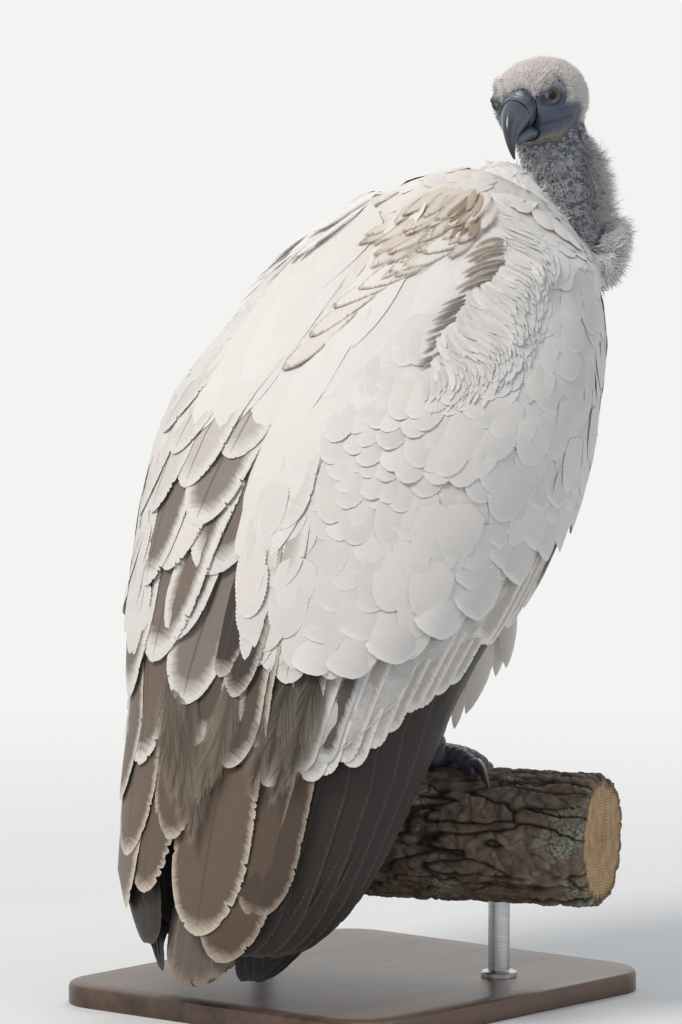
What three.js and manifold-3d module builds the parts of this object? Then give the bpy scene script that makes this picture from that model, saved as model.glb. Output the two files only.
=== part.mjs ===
// A Cape vulture, life size and still, standing on a cut length of log with its back half turned and its
// head looking back over the right shoulder. The log is held up by two short rods on a flat base.
//
// Units are millimetres and +Z is up. The bird faces -Y, so its left side is +X. The bird and its log are
// built round the point FEET, on top of the log between the feet, and lifted as a whole onto the stand.
import * as THREE from "three";
import { mergeVertices } from "three/addons/utils/BufferGeometryUtils.js";
import Module from "manifold-3d";

const wasm = await Module();
wasm.setup();

// ---------------------------------------------------------------- driving dimensions
const GAP = 0.4; // left between neighbouring solids
const SLIVER = 0.05; // faces thinner than this are merged after a cut
const FOOT_SLIVER = 0.4; // and in a foot, where many round pieces meet
const PERCH_TOP = 194; // height of the log's top above the floor
const LOG_RADIUS = 56;
const LOG_LENGTH = 390;
const LOG_TURN = 20; // degrees that the log is turned about Z, away from the bird's left-right line
const BASE = { width: 340, depth: 380, height: 18, corner: 40, backset: 34 };
const ROD = { radius: 9, spread: 105, intoLog: 14 };

// The cloak is the outer form of the two folded wings: an ellipse at each height.
// height, centre Y, half width, half depth
const CLOAK = [
  [490, -92, 44, 34],
  [476, -90, 72, 54],
  [458, -86, 97, 76],
  [440, -84, 117, 94],
  [410, -75, 142, 117],
  [347, -39, 174, 144],
  [302, -6, 193, 151],
  [243, 18, 197, 158],
  [168, 54, 186, 148],
  [102, 94, 170, 124],
  [60, 110, 156, 114],
  [2, 135, 146, 100],
  [-82, 177, 124, 72],
  [-125, 198, 92, 54],
  [-160, 212, 70, 40],
];
const CLOAK_CORE = 6; // nothing is set deeper than this from the cloak's axis
// Where the wing's front edge lies, as an angle round the cloak from the back's middle line.
const FRONT_EDGE = [
  [490, 120],
  [455, 130],
  [425, 140],
  [347, 146],
  [243, 138],
  [168, 128],
  [102, 119],
  [2, 114],
  [-160, 112],
];
// Where the wing's covert feathers end below, by angle round the cloak.
const COVERT_HEM = [
  [0, 30],
  [25, 15],
  [52, 22],
  [70, 58],
  [88, 103],
  [100, 128],
  [115, 146],
  [150, 165],
];
// And where they begin above. Between the two wings' tops the mantle shows.
const COVERT_TOP = [
  [0, 392],
  [18, 428],
  [40, 450],
  [70, 468],
  [100, 462],
  [150, 436],
];
// The two tables above are spread evenly over this angle, from the back to the wing's front edge.
const COVERT_SPAN = 132;
const COVERT_THICK = { hem: 6, pad: 44, clear: 40, rise: 130, edge: 8, rim: 0.12 };
const COVERT_FORM = { columns: 13, rows: 11, scallops: 9, scallop: 6, lastRow: 0.1 };
// The soft hollow between the two wings: its depth, its half width in degrees, and where it fades out.
const GROOVE = { depth: 10, width: 9, bottom: -40, fade: 160 };
// Each long feather of a fan: the roundness of its tip, and how far its edge dips under the next one.
const FAN = { columnsEach: 3, rows: 3, round: 15, tile: 2.2 };

// The trunk's side outline, from neck to tail: back Y, Z, then belly Y, Z, then half width.
const TRUNK = [
  [-188, 438, -260, 402, 36],
  [-160, 467, -264, 372, 52],
  [-126, 489, -248, 338, 74],
  [-80, 487, -230, 291, 99],
  [-18, 456, -206, 238, 116],
  [48, 394, -164, 189, 121],
  [88, 334, -114, 147, 113],
  [120, 266, -68, 106, 102],
  [146, 196, -20, 66, 88],
  [168, 128, 44, 32, 66],
  [184, 72, 104, 8, 44],
  [192, 40, 142, 2, 28],
];

const TRUNK_FORM = { steps: 14, sides: 16, chestRings: 5 };

const NECK_PATH = [
  [0, -206, 384],
  [-3, -236, 424],
  [-5, -240, 460],
  [-5, -230, 492],
  [-6, -213, 520],
];
const NECK_RADIUS = [44, 36, 32, 31, 30];
const NECK_FORM = { steps: 5, sides: 14 };
// The middle line of the downy collar, from the back round by the left side, and its thickness there.
const RUFF = [
  [0, -176, 473, 15],
  [36, -190, 468, 19],
  [56, -222, 446, 21],
  [40, -254, 426, 20],
  [2, -269, 416, 19],
  [-36, -261, 427, 19],
  [-52, -218, 392, 15],
  [-40, -182, 430, 14],
];
const RUFF_FORM = { steps: 18, sides: 8, tall: 1.15, ripple: 1.5, ripples: 7 };

const HEAD = { centre: [-5, -204, 541], turn: 195, nod: 15, roll: -11 };
// The skull's outline along its own length, from nape to bill: Y, centre Z, half width, half height.
const SKULL = [
  [48, -5, 9, 9],
  [44, -4, 20, 19],
  [34, -3, 29.5, 28],
  [18, -1, 36, 33.5],
  [0, 0, 37.5, 35],
  [-14, -0.5, 35, 33.5],
  [-25, -1.5, 30, 29.5],
  [-35, -3, 24.5, 23.5],
  [-43, -5, 18, 17.5],
];
const SKULL_FORM = { sides: 14, browFrom: -40, browTo: -10, brow: 2.3, crown: 2.1 };
const EYE = { x: 21.5, y: -24, z: 10.5, radius: 9 };
// The tail's root and tip as Y and Z, its half widths there, and how far its outer feathers curve inwards,
// end higher and round off.
const TAIL = { feathers: 7, root: [190, 66], tip: [245, -164], halfRoot: 33, halfTip: 43, thick: 7 };
const TAIL_EDGE = { curve: 12, step: 20, round: 9 };

// ---------------------------------------------------------------- small tools
const rad = THREE.MathUtils.degToRad;
const clamp01 = (t) => THREE.MathUtils.clamp(t, 0, 1);
const ease = (t) => clamp01(t) * clamp01(t) * (3 - 2 * clamp01(t));
const vec = (x, y, z) => new THREE.Vector3(x, y, z);

// A smooth function through the rows of a table whose first column is the key.
function smooth(table) {
  const rows = [...table].sort((a, b) => a[0] - b[0]);
  const slope = (i, c) => {
    const lo = rows[Math.max(i - 1, 0)];
    const hi = rows[Math.min(i + 1, rows.length - 1)];
    return (hi[c] - lo[c]) / (hi[0] - lo[0]);
  };
  return (key) => {
    const k = THREE.MathUtils.clamp(key, rows[0][0], rows[rows.length - 1][0]);
    const i = Math.max(0, Math.min(rows.length - 2, rows.findIndex((r) => r[0] > k) - 1));
    const last = rows[rows.length - 1][0] === k ? rows.length - 2 : i;
    const a = rows[last];
    const b = rows[last + 1];
    const h = b[0] - a[0];
    const t = (k - a[0]) / h;
    return a.slice(1).map((va, n) => {
      const c = n + 1;
      const m0 = slope(last, c) * h;
      const m1 = slope(last + 1, c) * h;
      const rise = t * t * (3 - 2 * t);
      const bend = t * (1 - t);
      return va + rise * (b[c] - va) + bend * ((1 - t) * m0 - t * m1);
    });
  };
}

// A closed body from points and triangles, with its faces turned outwards.
function body(points, triangles) {
  let volume = 0;
  for (const [a, b, c] of triangles) volume += points[a].dot(points[b].clone().cross(points[c]));
  const faces = volume < 0 ? triangles.map(([a, b, c]) => [a, c, b]) : triangles;
  const geometry = new THREE.BufferGeometry();
  geometry.setAttribute("position", new THREE.Float32BufferAttribute(points.flatMap((p) => p.toArray()), 3));
  geometry.setIndex(faces.flat());
  return geometry;
}

// A body through rings of equally many points, closed by a fan at each end.
function loft(rings) {
  const n = rings[0].length;
  const points = rings.flat();
  const triangles = [];
  for (let r = 0; r + 1 < rings.length; r++) {
    for (let i = 0; i < n; i++) {
      const j = (i + 1) % n;
      const [a, b, c, d] = [r * n + i, r * n + j, (r + 1) * n + i, (r + 1) * n + j];
      triangles.push([a, b, d], [a, d, c]);
    }
  }
  for (const [start, turned] of [[0, true], [(rings.length - 1) * n, false]]) {
    const middle = points.slice(start, start + n).reduce((s, p) => s.add(p), vec(0, 0, 0)).divideScalar(n);
    const hub = points.push(middle) - 1;
    for (let i = 0; i < n; i++) {
      const [a, b] = [start + i, start + ((i + 1) % n)];
      triangles.push(turned ? [hub, b, a] : [hub, a, b]);
    }
  }
  return body(points, triangles);
}

// A closed plate from two grids of points, one for each face, with a rim round them.
function plate(columns, rows, outer, inner) {
  const points = [];
  const at = [outer, inner].map((face) =>
    Array.from({ length: columns + 1 }, (_, i) =>
      Array.from({ length: rows + 1 }, (_, j) => points.push(face(i / columns, j / rows)) - 1),
    ),
  );
  const triangles = [];
  for (let i = 0; i < columns; i++) {
    for (let j = 0; j < rows; j++) {
      const [a, b, c, d] = [at[0][i][j], at[0][i + 1][j], at[0][i + 1][j + 1], at[0][i][j + 1]];
      triangles.push([a, b, c], [a, c, d]);
      const [e, f, g, h] = [at[1][i][j], at[1][i + 1][j], at[1][i + 1][j + 1], at[1][i][j + 1]];
      triangles.push([e, g, f], [e, h, g]);
    }
  }
  const rim = [];
  for (let i = 0; i < columns; i++) rim.push([i, 0]);
  for (let j = 0; j < rows; j++) rim.push([columns, j]);
  for (let i = columns; i > 0; i--) rim.push([i, rows]);
  for (let j = rows; j > 0; j--) rim.push([0, j]);
  rim.forEach(([i, j], k) => {
    const [i2, j2] = rim[(k + 1) % rim.length];
    const [a, b, c, d] = [at[0][i][j], at[0][i2][j2], at[1][i2][j2], at[1][i][j]];
    triangles.push([a, d, c], [a, c, b]);
  });
  return body(points, triangles);
}

// A ring round a centre, from two half-axis vectors. Power 2 is an ellipse and more is squarer.
function ring(centre, across, up, n, power = 2) {
  return Array.from({ length: n }, (_, i) => {
    const angle = (2 * Math.PI * i) / n;
    const [c, s] = [Math.cos(angle), Math.sin(angle)];
    const bend = (t) => Math.sign(t) * Math.abs(t) ** (2 / power);
    return centre.clone().addScaledVector(across, bend(c)).addScaledVector(up, bend(s));
  });
}

// A round tube along a curve, with a radius at each place from 0 to 1, blunt at both ends.
function tube(curve, radius, steps, n, grow = 0) {
  const rings = [];
  const side = vec(1, 0, 0);
  for (let k = 0; k <= steps; k++) {
    const along = curve.getTangent(k / steps);
    const up = vec(0, 0, 0).crossVectors(along, side).normalize();
    const across = vec(0, 0, 0).crossVectors(up, along).normalize();
    const r = radius(k / steps) + grow;
    const past = k === 0 ? -grow : k === steps ? grow : 0;
    const centre = curve.getPoint(k / steps).addScaledVector(along, past);
    rings.push(ring(centre, across.multiplyScalar(r), up.multiplyScalar(r), n));
  }
  return loft(rings);
}

// A geometry as a manifold-3d solid, and back.
function solid(geometry) {
  const plain = new THREE.BufferGeometry();
  plain.setAttribute("position", geometry.getAttribute("position"));
  plain.setIndex(geometry.getIndex());
  const merged = mergeVertices(plain, 1e-4);
  return new wasm.Manifold(
    new wasm.Mesh({
      numProp: 3,
      vertProperties: merged.attributes.position.array,
      triVerts: new Uint32Array(merged.index.array),
    }),
  );
}

// The first geometry with the others cut out of it, keeping its biggest piece.
function carve(geometry, ...cutters) {
  return geometryOf(cutters.reduce((kept, cutter) => kept.subtract(solid(cutter)), solid(geometry)), SLIVER);
}

// The biggest piece of a solid as a geometry, without its sliver faces.
function geometryOf(manifold, sliver) {
  const pieces = manifold.simplify(sliver).decompose().sort((a, b) => b.volume() - a.volume());
  const mesh = pieces[0].getMesh();
  const position = [];
  for (let i = 0; i < mesh.vertProperties.length; i += mesh.numProp) {
    position.push(...mesh.vertProperties.slice(i, i + 3));
  }
  const made = new THREE.BufferGeometry();
  made.setAttribute("position", new THREE.Float32BufferAttribute(position, 3));
  made.setIndex([...mesh.triVerts]);
  return made;
}

// ---------------------------------------------------------------- materials
const material = (color, roughness) => new THREE.MeshStandardMaterial({ color, roughness, metalness: 0 });
const PALE = material("#e4ddd2", 0.85);
const DOWN = material("#d8d3cc", 0.9);
const DARK = material("#3a322c", 0.7);
const BROWN = material("#8d7866", 0.8);
const HORN = material("#3b434d", 0.4);
const SCALE = material("#4a525c", 0.6);
const CLAW = material("#1d1b1c", 0.35);
const IRIS = material("#8a6a3a", 0.1);
const BARK = material("#6b5848", 0.95);
const STAND = material("#2b2723", 0.5);

const bird = new THREE.Group();
bird.position.set(0, -BASE.backset, PERCH_TOP);
function add(name, geometry, finish, group = bird) {
  const mesh = new THREE.Mesh(geometry, finish);
  mesh.name = name;
  group.add(mesh);
  return mesh;
}

// ---------------------------------------------------------------- the cloak of the folded wings
const cloak = smooth(CLOAK);
const frontEdge = smooth(FRONT_EDGE);
const covertTop = smooth(COVERT_TOP);
const covertHem = smooth(COVERT_HEM);

// A point on the cloak at a height and an angle from the back's middle line, set in from its surface.
function cloakPoint(side, angle, z, inset) {
  const [centre, half, deep] = cloak(z);
  const a = rad(angle);
  const fade = ease((z - GROOVE.bottom) / GROOVE.fade);
  const groove = GROOVE.depth * Math.exp(-((angle / GROOVE.width) ** 2)) * fade;
  const inwards = Math.min(inset + groove, deep - CLOAK_CORE, half - CLOAK_CORE);
  return vec(
    side * (GAP + (half - inwards) * Math.sin(a)),
    centre + (deep - inwards) * Math.cos(a),
    z,
  );
}

// The folded upper wing: shoulder, wrist and covert feathers, as a pad that thins towards its hem.
function coverts(side) {
  const { columns, rows, scallops, scallop, lastRow } = COVERT_FORM;
  const angleAt = (u, z) => u * frontEdge(z)[0];
  const place = (u, v) => {
    const top = covertTop(COVERT_SPAN * u)[0];
    const hem = covertHem(COVERT_SPAN * u)[0];
    const atHem = ease((v - 1 + lastRow) / lastRow);
    const offTip = 2 * ((u * scallops) % 1) - 1;
    const round = scallop * atHem * offTip ** 2;
    return THREE.MathUtils.lerp(top, hem, v ** 0.8) + round;
  };
  const thick = (u, v) => {
    const rise = ease((place(u, v) - place(u, 1) - COVERT_THICK.clear) / COVERT_THICK.rise);
    const pad = THREE.MathUtils.lerp(COVERT_THICK.hem, COVERT_THICK.pad, rise);
    const edge = clamp01((1 - u) / COVERT_THICK.rim);
    return Math.max(COVERT_THICK.hem, pad * Math.sqrt(edge * (2 - edge)));
  };
  const face = (depth) => (u, v) => {
    const z = place(u, v);
    const round = COVERT_THICK.edge * (1 - ease(v / COVERT_THICK.rim));
    return cloakPoint(side, angleAt(u, z), z, depth(u, v) + round);
  };
  return plate(columns, rows, face(() => 0), face(thick));
}

// A fan of long wing feathers: each overlaps the next like a roof tile, and ends in its own rounded tip.
function fan(side, { feathers, from, to, inset, thick, root, tip }) {
  const columns = feathers * FAN.columnsEach;
  const angleAt = (u) => THREE.MathUtils.lerp(from, to, u);
  const place = (u, v) => {
    const across = (u * feathers) % 1;
    const round = FAN.round * (2 * across - 1) ** 2;
    return THREE.MathUtils.lerp(root(angleAt(u)), tip(angleAt(u)) + round, v);
  };
  const tile = (u) => FAN.tile * ((u * feathers) % 1);
  return plate(
    columns,
    FAN.rows,
    (u, v) => cloakPoint(side, angleAt(u), place(u, v), inset + tile(u)),
    (u, v) => cloakPoint(side, angleAt(u), place(u, v), inset + thick),
  );
}

const SECONDARIES = {
  feathers: 7,
  from: 34,
  to: 103,
  inset: 14.5,
  thick: 4.6,
  root: (angle) => covertHem(angle)[0] + 34,
  tip: (angle) => -128 + 0.0026 * (angle - 40) ** 2,
};
const PRIMARIES = {
  feathers: 6,
  from: 40,
  to: 111,
  inset: 24.5,
  thick: 4.4,
  root: (angle) => covertHem(angle)[0] + 26,
  tip: (angle) => -150 + 0.012 * Math.max(0, angle - 60) ** 2,
};
const TERTIALS = {
  feathers: 4,
  from: 1,
  to: 50,
  inset: 8,
  thick: 4.4,
  root: (angle) => covertHem(angle)[0] + 26,
  tip: (angle) => -112 + 0.6 * angle,
};

// ---------------------------------------------------------------- trunk, neck and head
function trunkRings(grow) {
  const byPart = smooth(TRUNK.map((row, i) => [i, ...row]));
  const { steps, sides, chestRings } = TRUNK_FORM;
  return Array.from({ length: steps + 1 }, (_, k) => {
    const [backY, backZ, bellyY, bellyZ, half] = byPart((k * (TRUNK.length - 1)) / steps);
    const [back, belly] = [vec(0, backY, backZ), vec(0, bellyY, bellyZ)];
    const up = back.clone().sub(belly).multiplyScalar(0.5);
    up.setLength(up.length() + grow);
    const middle = back.clone().add(belly).multiplyScalar(0.5);
    return ring(middle, vec(half + grow, 0, 0), up, sides, k < chestRings ? 1.95 : 2.15);
  });
}
const trunk = (grow = 0) => loft(trunkRings(grow));

const neckCurve = new THREE.CatmullRomCurve3(NECK_PATH.map((p) => vec(...p)));
const neckRadius = smooth(NECK_RADIUS.map((r, i) => [i / (NECK_RADIUS.length - 1), r]));
function neck(from, to, grow = 0) {
  const part = new THREE.CatmullRomCurve3(
    Array.from({ length: 9 }, (_, i) => neckCurve.getPoint(THREE.MathUtils.lerp(from, to, i / 8))),
  );
  const radius = (t) => neckRadius(THREE.MathUtils.lerp(from, to, t))[0];
  return tube(part, radius, NECK_FORM.steps, NECK_FORM.sides, grow);
}

// The downy collar: a closed ring that leans over the shoulders and lies lowest on the right.
function ruff(grow = 0) {
  const line = new THREE.CatmullRomCurve3(RUFF.map(([x, y, z]) => vec(x, y, z)), true);
  const thickness = new THREE.CatmullRomCurve3(RUFF.map((row) => vec(row[3], 0, 0)), true);
  const middle = RUFF.reduce((s, [x, y, z]) => s.add(vec(x, y, z)), vec(0, 0, 0)).divideScalar(RUFF.length);
  const { steps, sides, tall, ripple, ripples } = RUFF_FORM;
  const points = [];
  const triangles = [];
  for (let i = 0; i < steps; i++) {
    const centre = line.getPoint(i / steps);
    const along = line.getTangent(i / steps);
    const lift = vec(0, 0, 0).crossVectors(along, centre.clone().sub(middle)).normalize();
    const outward = vec(0, 0, 0).crossVectors(lift, along);
    const rippled = ripple * Math.sin((2 * ripples * Math.PI * i) / steps);
    const r = thickness.getPoint(i / steps).x + grow + rippled;
    points.push(...ring(centre, outward.multiplyScalar(r), lift.multiplyScalar(r * tall), sides));
    for (let k = 0; k < sides; k++) {
      const next = ((i + 1) % steps) * sides;
      const [a, b] = [i * sides + k, i * sides + ((k + 1) % sides)];
      const [c, d] = [next + k, next + ((k + 1) % sides)];
      triangles.push([a, b, d], [a, d, c]);
    }
  }
  return body(points, triangles);
}

// Head pieces are made in the head's own frame, bill towards -Y, and then turned into place.
const headPlace = new THREE.Matrix4().compose(
  vec(...HEAD.centre),
  new THREE.Quaternion().setFromEuler(new THREE.Euler(rad(HEAD.nod), rad(HEAD.roll), rad(HEAD.turn), "ZYX")),
  vec(1, 1, 1),
);
const turned = (geometry) => geometry.applyMatrix4(headPlace);

function skull(grow = 0) {
  const rings = SKULL.map(([y, z, half, high]) => {
    const atBrow = y < SKULL_FORM.browTo && y > SKULL_FORM.browFrom;
    const flat = atBrow ? SKULL_FORM.brow : SKULL_FORM.crown;
    return ring(vec(0, y, z), vec(half + grow, 0, 0), vec(0, 0, high + grow), SKULL_FORM.sides, flat);
  });
  return loft(rings);
}

// One eyeball, which looks out of the side of the head and a little forwards.
function eyeball(side, grow = 0) {
  const ball = new THREE.SphereGeometry(EYE.radius + grow, 10, 7);
  ball.deleteAttribute("uv");
  ball.deleteAttribute("normal");
  return mergeVertices(ball).translate(side * EYE.x, EYE.y, EYE.z);
}

// The bill's upper half follows an arc that ends in the hook. Its lower half lies inside the hook.
// Along the arc: Y, Z, half width, half height.
const UPPER_BILL = [
  [-27, 4, 14, 16.5],
  [-39, 5, 13.5, 16],
  [-51, 4.5, 12.5, 15],
  [-62, 1.5, 10, 12.5],
  [-71.5, -4, 7, 9],
  [-78, -12, 4.2, 5.6],
  [-80.5, -20, 2.2, 2.8],
  [-80.5, -26, 0.8, 0.9],
];
const LOWER_BILL = [
  [-29, -15.5, 12, 7.5],
  [-43, -16, 10, 7],
  [-56, -16.5, 7, 5.5],
  [-66, -16.5, 3.5, 3],
];
const CERE_END = 0.31; // where the cere gives way to horn, as a share of the arc
const HORN_START = CERE_END + 0.006;
function billForm(table, from, to, steps, n, grow) {
  const last = table.length - 1;
  const along = smooth(table.map((row, i) => [i, ...row]));
  const rings = [];
  for (let k = 0; k <= steps; k++) {
    const t = THREE.MathUtils.lerp(from, to, k / steps) * last;
    const [y, z, half, high] = along(t);
    const [before, after] = [along(t - 0.1), along(t + 0.1)];
    const way = vec(0, after[0] - before[0], after[1] - before[1]).normalize();
    const up = vec(0, way.z, -way.y).multiplyScalar(high + grow);
    const tip = vec(0, y, z).addScaledVector(way, k === steps ? grow : k === 0 ? -grow : 0);
    rings.push(ring(tip, vec(half + grow, 0, 0), up, n, 1.9));
  }
  return loft(rings);
}
const upperBill = (grow = 0) => billForm(UPPER_BILL, 0, 1, 11, 12, grow);
const lowerBill = (grow = 0) => billForm(LOWER_BILL, 0, 1, 4, 8, grow);
const cere = () => billForm(UPPER_BILL, 0, CERE_END, 3, 12, 0);
const billHook = () => billForm(UPPER_BILL, HORN_START, 1, 8, 12, 0);

// ---------------------------------------------------------------- legs and feet
const logAlong = vec(Math.cos(rad(LOG_TURN)), Math.sin(rad(LOG_TURN)), 0);
const logAcross = vec(-Math.sin(rad(LOG_TURN)), Math.cos(rad(LOG_TURN)), 0);

// The log as a rough cylinder whose axis is LOG_RADIUS below the feet.
const LOG_FORM = { steps: 8, sides: 18, chamfer: 4, rough: 2.2, wave: 1.6, worn: 0.6 };
function log(grow = 0) {
  const rings = [];
  const { steps, sides, chamfer, rough, wave, worn } = LOG_FORM;
  for (let k = 0; k <= steps; k++) {
    const along = LOG_LENGTH * (k / steps - 0.5);
    const centre = vec(0, 0, -LOG_RADIUS).addScaledVector(logAlong, along * (1 + (2 * grow) / LOG_LENGTH));
    const points = [];
    const rim = k === 0 || k === steps ? chamfer : 0;
    for (let i = 0; i < sides; i++) {
      const angle = (2 * Math.PI * i) / sides;
      const lumps = rough * Math.sin(5 * angle + along / 31) + wave * Math.sin(3 * angle - along / 23);
      const top = Math.max(0, Math.sin(angle)) ** 2;
      const r = LOG_RADIUS + grow - rim + lumps * (1 - top) - worn * top;
      const rise = vec(0, 0, r * Math.sin(angle));
      points.push(centre.clone().addScaledVector(logAcross, r * Math.cos(angle)).add(rise));
    }
    rings.push(points);
  }
  return loft(rings);
}

const ANKLE_APART = 50; // of each foot's middle from the bird's
const anklePoint = (side) => vec(0, 0, 0).addScaledVector(logAlong, side * ANKLE_APART);
// The toes of one foot, from the inner to the hind one: the turn outwards from straight ahead in degrees,
// the reach round the log, the radius, and how far a toe that lies along the log bends down behind it.
const TOES = [
  { turn: -4, reach: 60, radius: 8.5, bend: 0 },
  { turn: 30, reach: 88, radius: 9.5, bend: 0 },
  { turn: 96, reach: 48, radius: 9, bend: 0.5 },
  { turn: 205, reach: 36, radius: 8, bend: 0 },
];
const CLAW_LENGTH = 27;
const FOOT_FORM = { knuckle: 2.2, taper: 0.22, pads: 0.9, heel: 15, heelHeight: 10 };

// A point on the log's skin: from a foot's middle, so far forwards round the log and so far along it.
function onLog(side, forwards, along, height) {
  const angle = forwards / (LOG_RADIUS + 6);
  const r = LOG_RADIUS + height;
  return anklePoint(side)
    .addScaledVector(logAlong, along)
    .addScaledVector(logAcross, -r * Math.sin(angle))
    .add(vec(0, 0, r * Math.cos(angle) - LOG_RADIUS));
}
function toeCurve(side, { turn, reach, radius, bend }) {
  const a = rad(turn);
  const points = [0, 0.25, 0.5, 0.75, 1].map((t) => {
    const knuckle = FOOT_FORM.knuckle * Math.sin(Math.PI * Math.min(1, t * 1.3));
    const forwards = reach * (t * Math.cos(a) - bend * t * t);
    return onLog(side, forwards, side * reach * t * Math.sin(a), radius * 0.8 + knuckle);
  });
  return new THREE.CatmullRomCurve3(points);
}
const pads = (t) => FOOT_FORM.pads * Math.cos(4 * Math.PI * t);
const toeRadius = (toe) => (t) => toe.radius * (1 - FOOT_FORM.taper * t) + pads(t);
function foot(side, ...cutters) {
  const heel = new THREE.SphereGeometry(FOOT_FORM.heel, 8, 5);
  heel.deleteAttribute("uv");
  heel.deleteAttribute("normal");
  const pad = mergeVertices(heel).translate(...onLog(side, 0, 0, FOOT_FORM.heelHeight).toArray());
  const toes = TOES.map((toe) => tube(toeCurve(side, toe), toeRadius(toe), 5, 5));
  const whole = toes.reduce((joined, toe) => joined.add(solid(toe)), solid(pad));
  return geometryOf(cutters.reduce((kept, cutter) => kept.subtract(solid(cutter)), whole), FOOT_SLIVER);
}
function claw(side, toe, grow = 0) {
  const curve = toeCurve(side, toe);
  const start = curve.getPoint(1);
  const ahead = curve.getTangent(1);
  const down = vec(0, 0, -1).addScaledVector(ahead, ahead.z).normalize();
  const points = [-0.15, 0.2, 0.6, 1].map((t) =>
    start
      .clone()
      .addScaledVector(ahead, CLAW_LENGTH * t * (1 - 0.22 * Math.max(0, t)))
      .addScaledVector(down, -2 + CLAW_LENGTH * 0.45 * Math.max(0, t) ** 2),
  );
  return tube(new THREE.CatmullRomCurve3(points), (t) => 6 * (1 - t) ** 0.7 + 0.9, 4, 5, grow);
}

const SHANK = { radius: 9.5, waist: 1.6 };
const THIGH = { top: 46, heel: 14, taper: 0.9 };

// The scaly shank, from the feathered heel down and forwards to the foot.
function shank(side, grow = 0) {
  const low = anklePoint(side).add(vec(0, 3, 18));
  const high = anklePoint(side).add(vec(side * 6, 22, 84));
  const middle = low.clone().lerp(high, 0.5).add(vec(0, 3, 0));
  const curve = new THREE.CatmullRomCurve3([low, middle, high]);
  return tube(curve, (t) => SHANK.radius - SHANK.waist * Math.sin(Math.PI * t), 4, 8, grow);
}

// The feathered thigh: a full tapering form from the flank down to the heel.
function thigh(side, grow = 0) {
  const heel = anklePoint(side).add(vec(side * 3, 12, 38));
  const curve = new THREE.CatmullRomCurve3([
    vec(side * 68, -50, 212),
    vec(side * 80, -32, 168),
    vec(side * 76, heel.y - 12, 122),
    heel.clone().add(vec(side * 10, 6, 42)),
    heel,
  ]);
  return tube(curve, (t) => THREE.MathUtils.lerp(THIGH.top, THIGH.heel, t ** THIGH.taper), 6, 12, grow);
}

// ---------------------------------------------------------------- tail
function tail() {
  const { feathers, root, tip, halfRoot, halfTip, thick } = TAIL;
  const columns = feathers * 2;
  const line = (v, inset) => {
    const y = THREE.MathUtils.lerp(root[0], tip[0], v) - inset;
    return [y, THREE.MathUtils.lerp(root[1], tip[1], v)];
  };
  const face = (inset) => (u, v) => {
    const x = (2 * u - 1) * THREE.MathUtils.lerp(halfRoot, halfTip, ease(v * 1.2));
    const across = (u * feathers) % 1;
    const outer = (2 * u - 1) ** 2;
    const round = TAIL_EDGE.round * (2 * across - 1) ** 2 + TAIL_EDGE.step * outer;
    const [y, z] = line(v, inset + TAIL_EDGE.curve * outer);
    return vec(x, y, z + round * v);
  };
  return plate(columns, 3, face(0), face(thick));
}

// ---------------------------------------------------------------- putting the bird together
add("head", turned(carve(skull(), upperBill(GAP), lowerBill(GAP), eyeball(1, GAP), eyeball(-1, GAP))), PALE);
add("cere", turned(cere()), SCALE);
add("bill_upper", turned(billHook()), HORN);
add("bill_lower", turned(carve(lowerBill(), upperBill(GAP))), HORN);
add("eye_left", turned(eyeball(1)), IRIS);
add("eye_right", turned(eyeball(-1)), IRIS);

const headForm = [skull(GAP), upperBill(GAP), lowerBill(GAP)].map(turned);
const NECK_SPLIT = 0.5;
const neckForm = [neck(0, NECK_SPLIT, GAP), neck(NECK_SPLIT - 0.01, 1, GAP)];
add("neck_upper", carve(neck(NECK_SPLIT, 1), ...headForm), DOWN);
add("neck_lower", carve(neck(0, NECK_SPLIT), neckForm[1], ...headForm), DOWN);
add("ruff", carve(ruff(), ...neckForm, ...headForm), DOWN);
add("trunk", carve(trunk(), ruff(), ruff(GAP), ...neckForm, ...headForm), PALE);

for (const [name, side] of [["left", 1], ["right", -1]]) {
  add(`wing_${name}_coverts`, carve(coverts(side), trunk(GAP), ruff(GAP), ...neckForm), PALE);
  add(`wing_${name}_secondaries`, carve(fan(side, SECONDARIES), trunk(GAP)), DARK);
  add(`wing_${name}_primaries`, carve(fan(side, PRIMARIES), trunk(GAP)), DARK);
  add(`wing_${name}_tertials`, fan(side, TERTIALS), BROWN);
  add(`thigh_${name}`, carve(thigh(side), trunk(GAP), log(GAP)), PALE);
  add(`tarsus_${name}`, carve(shank(side), thigh(side, GAP), trunk(GAP)), SCALE);
  const claws = TOES.map((toe) => claw(side, toe, GAP));
  add(`foot_${name}`, foot(side, shank(side, GAP), log(GAP), ...claws), SCALE);
  TOES.forEach((toe, i) => add(`claw_${name}_${i + 1}`, carve(claw(side, toe), log(GAP)), CLAW));
}
add("tail", carve(tail(), trunk(GAP)), BROWN);

// ---------------------------------------------------------------- perch and stand
add("perch_log", log(), BARK);

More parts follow.
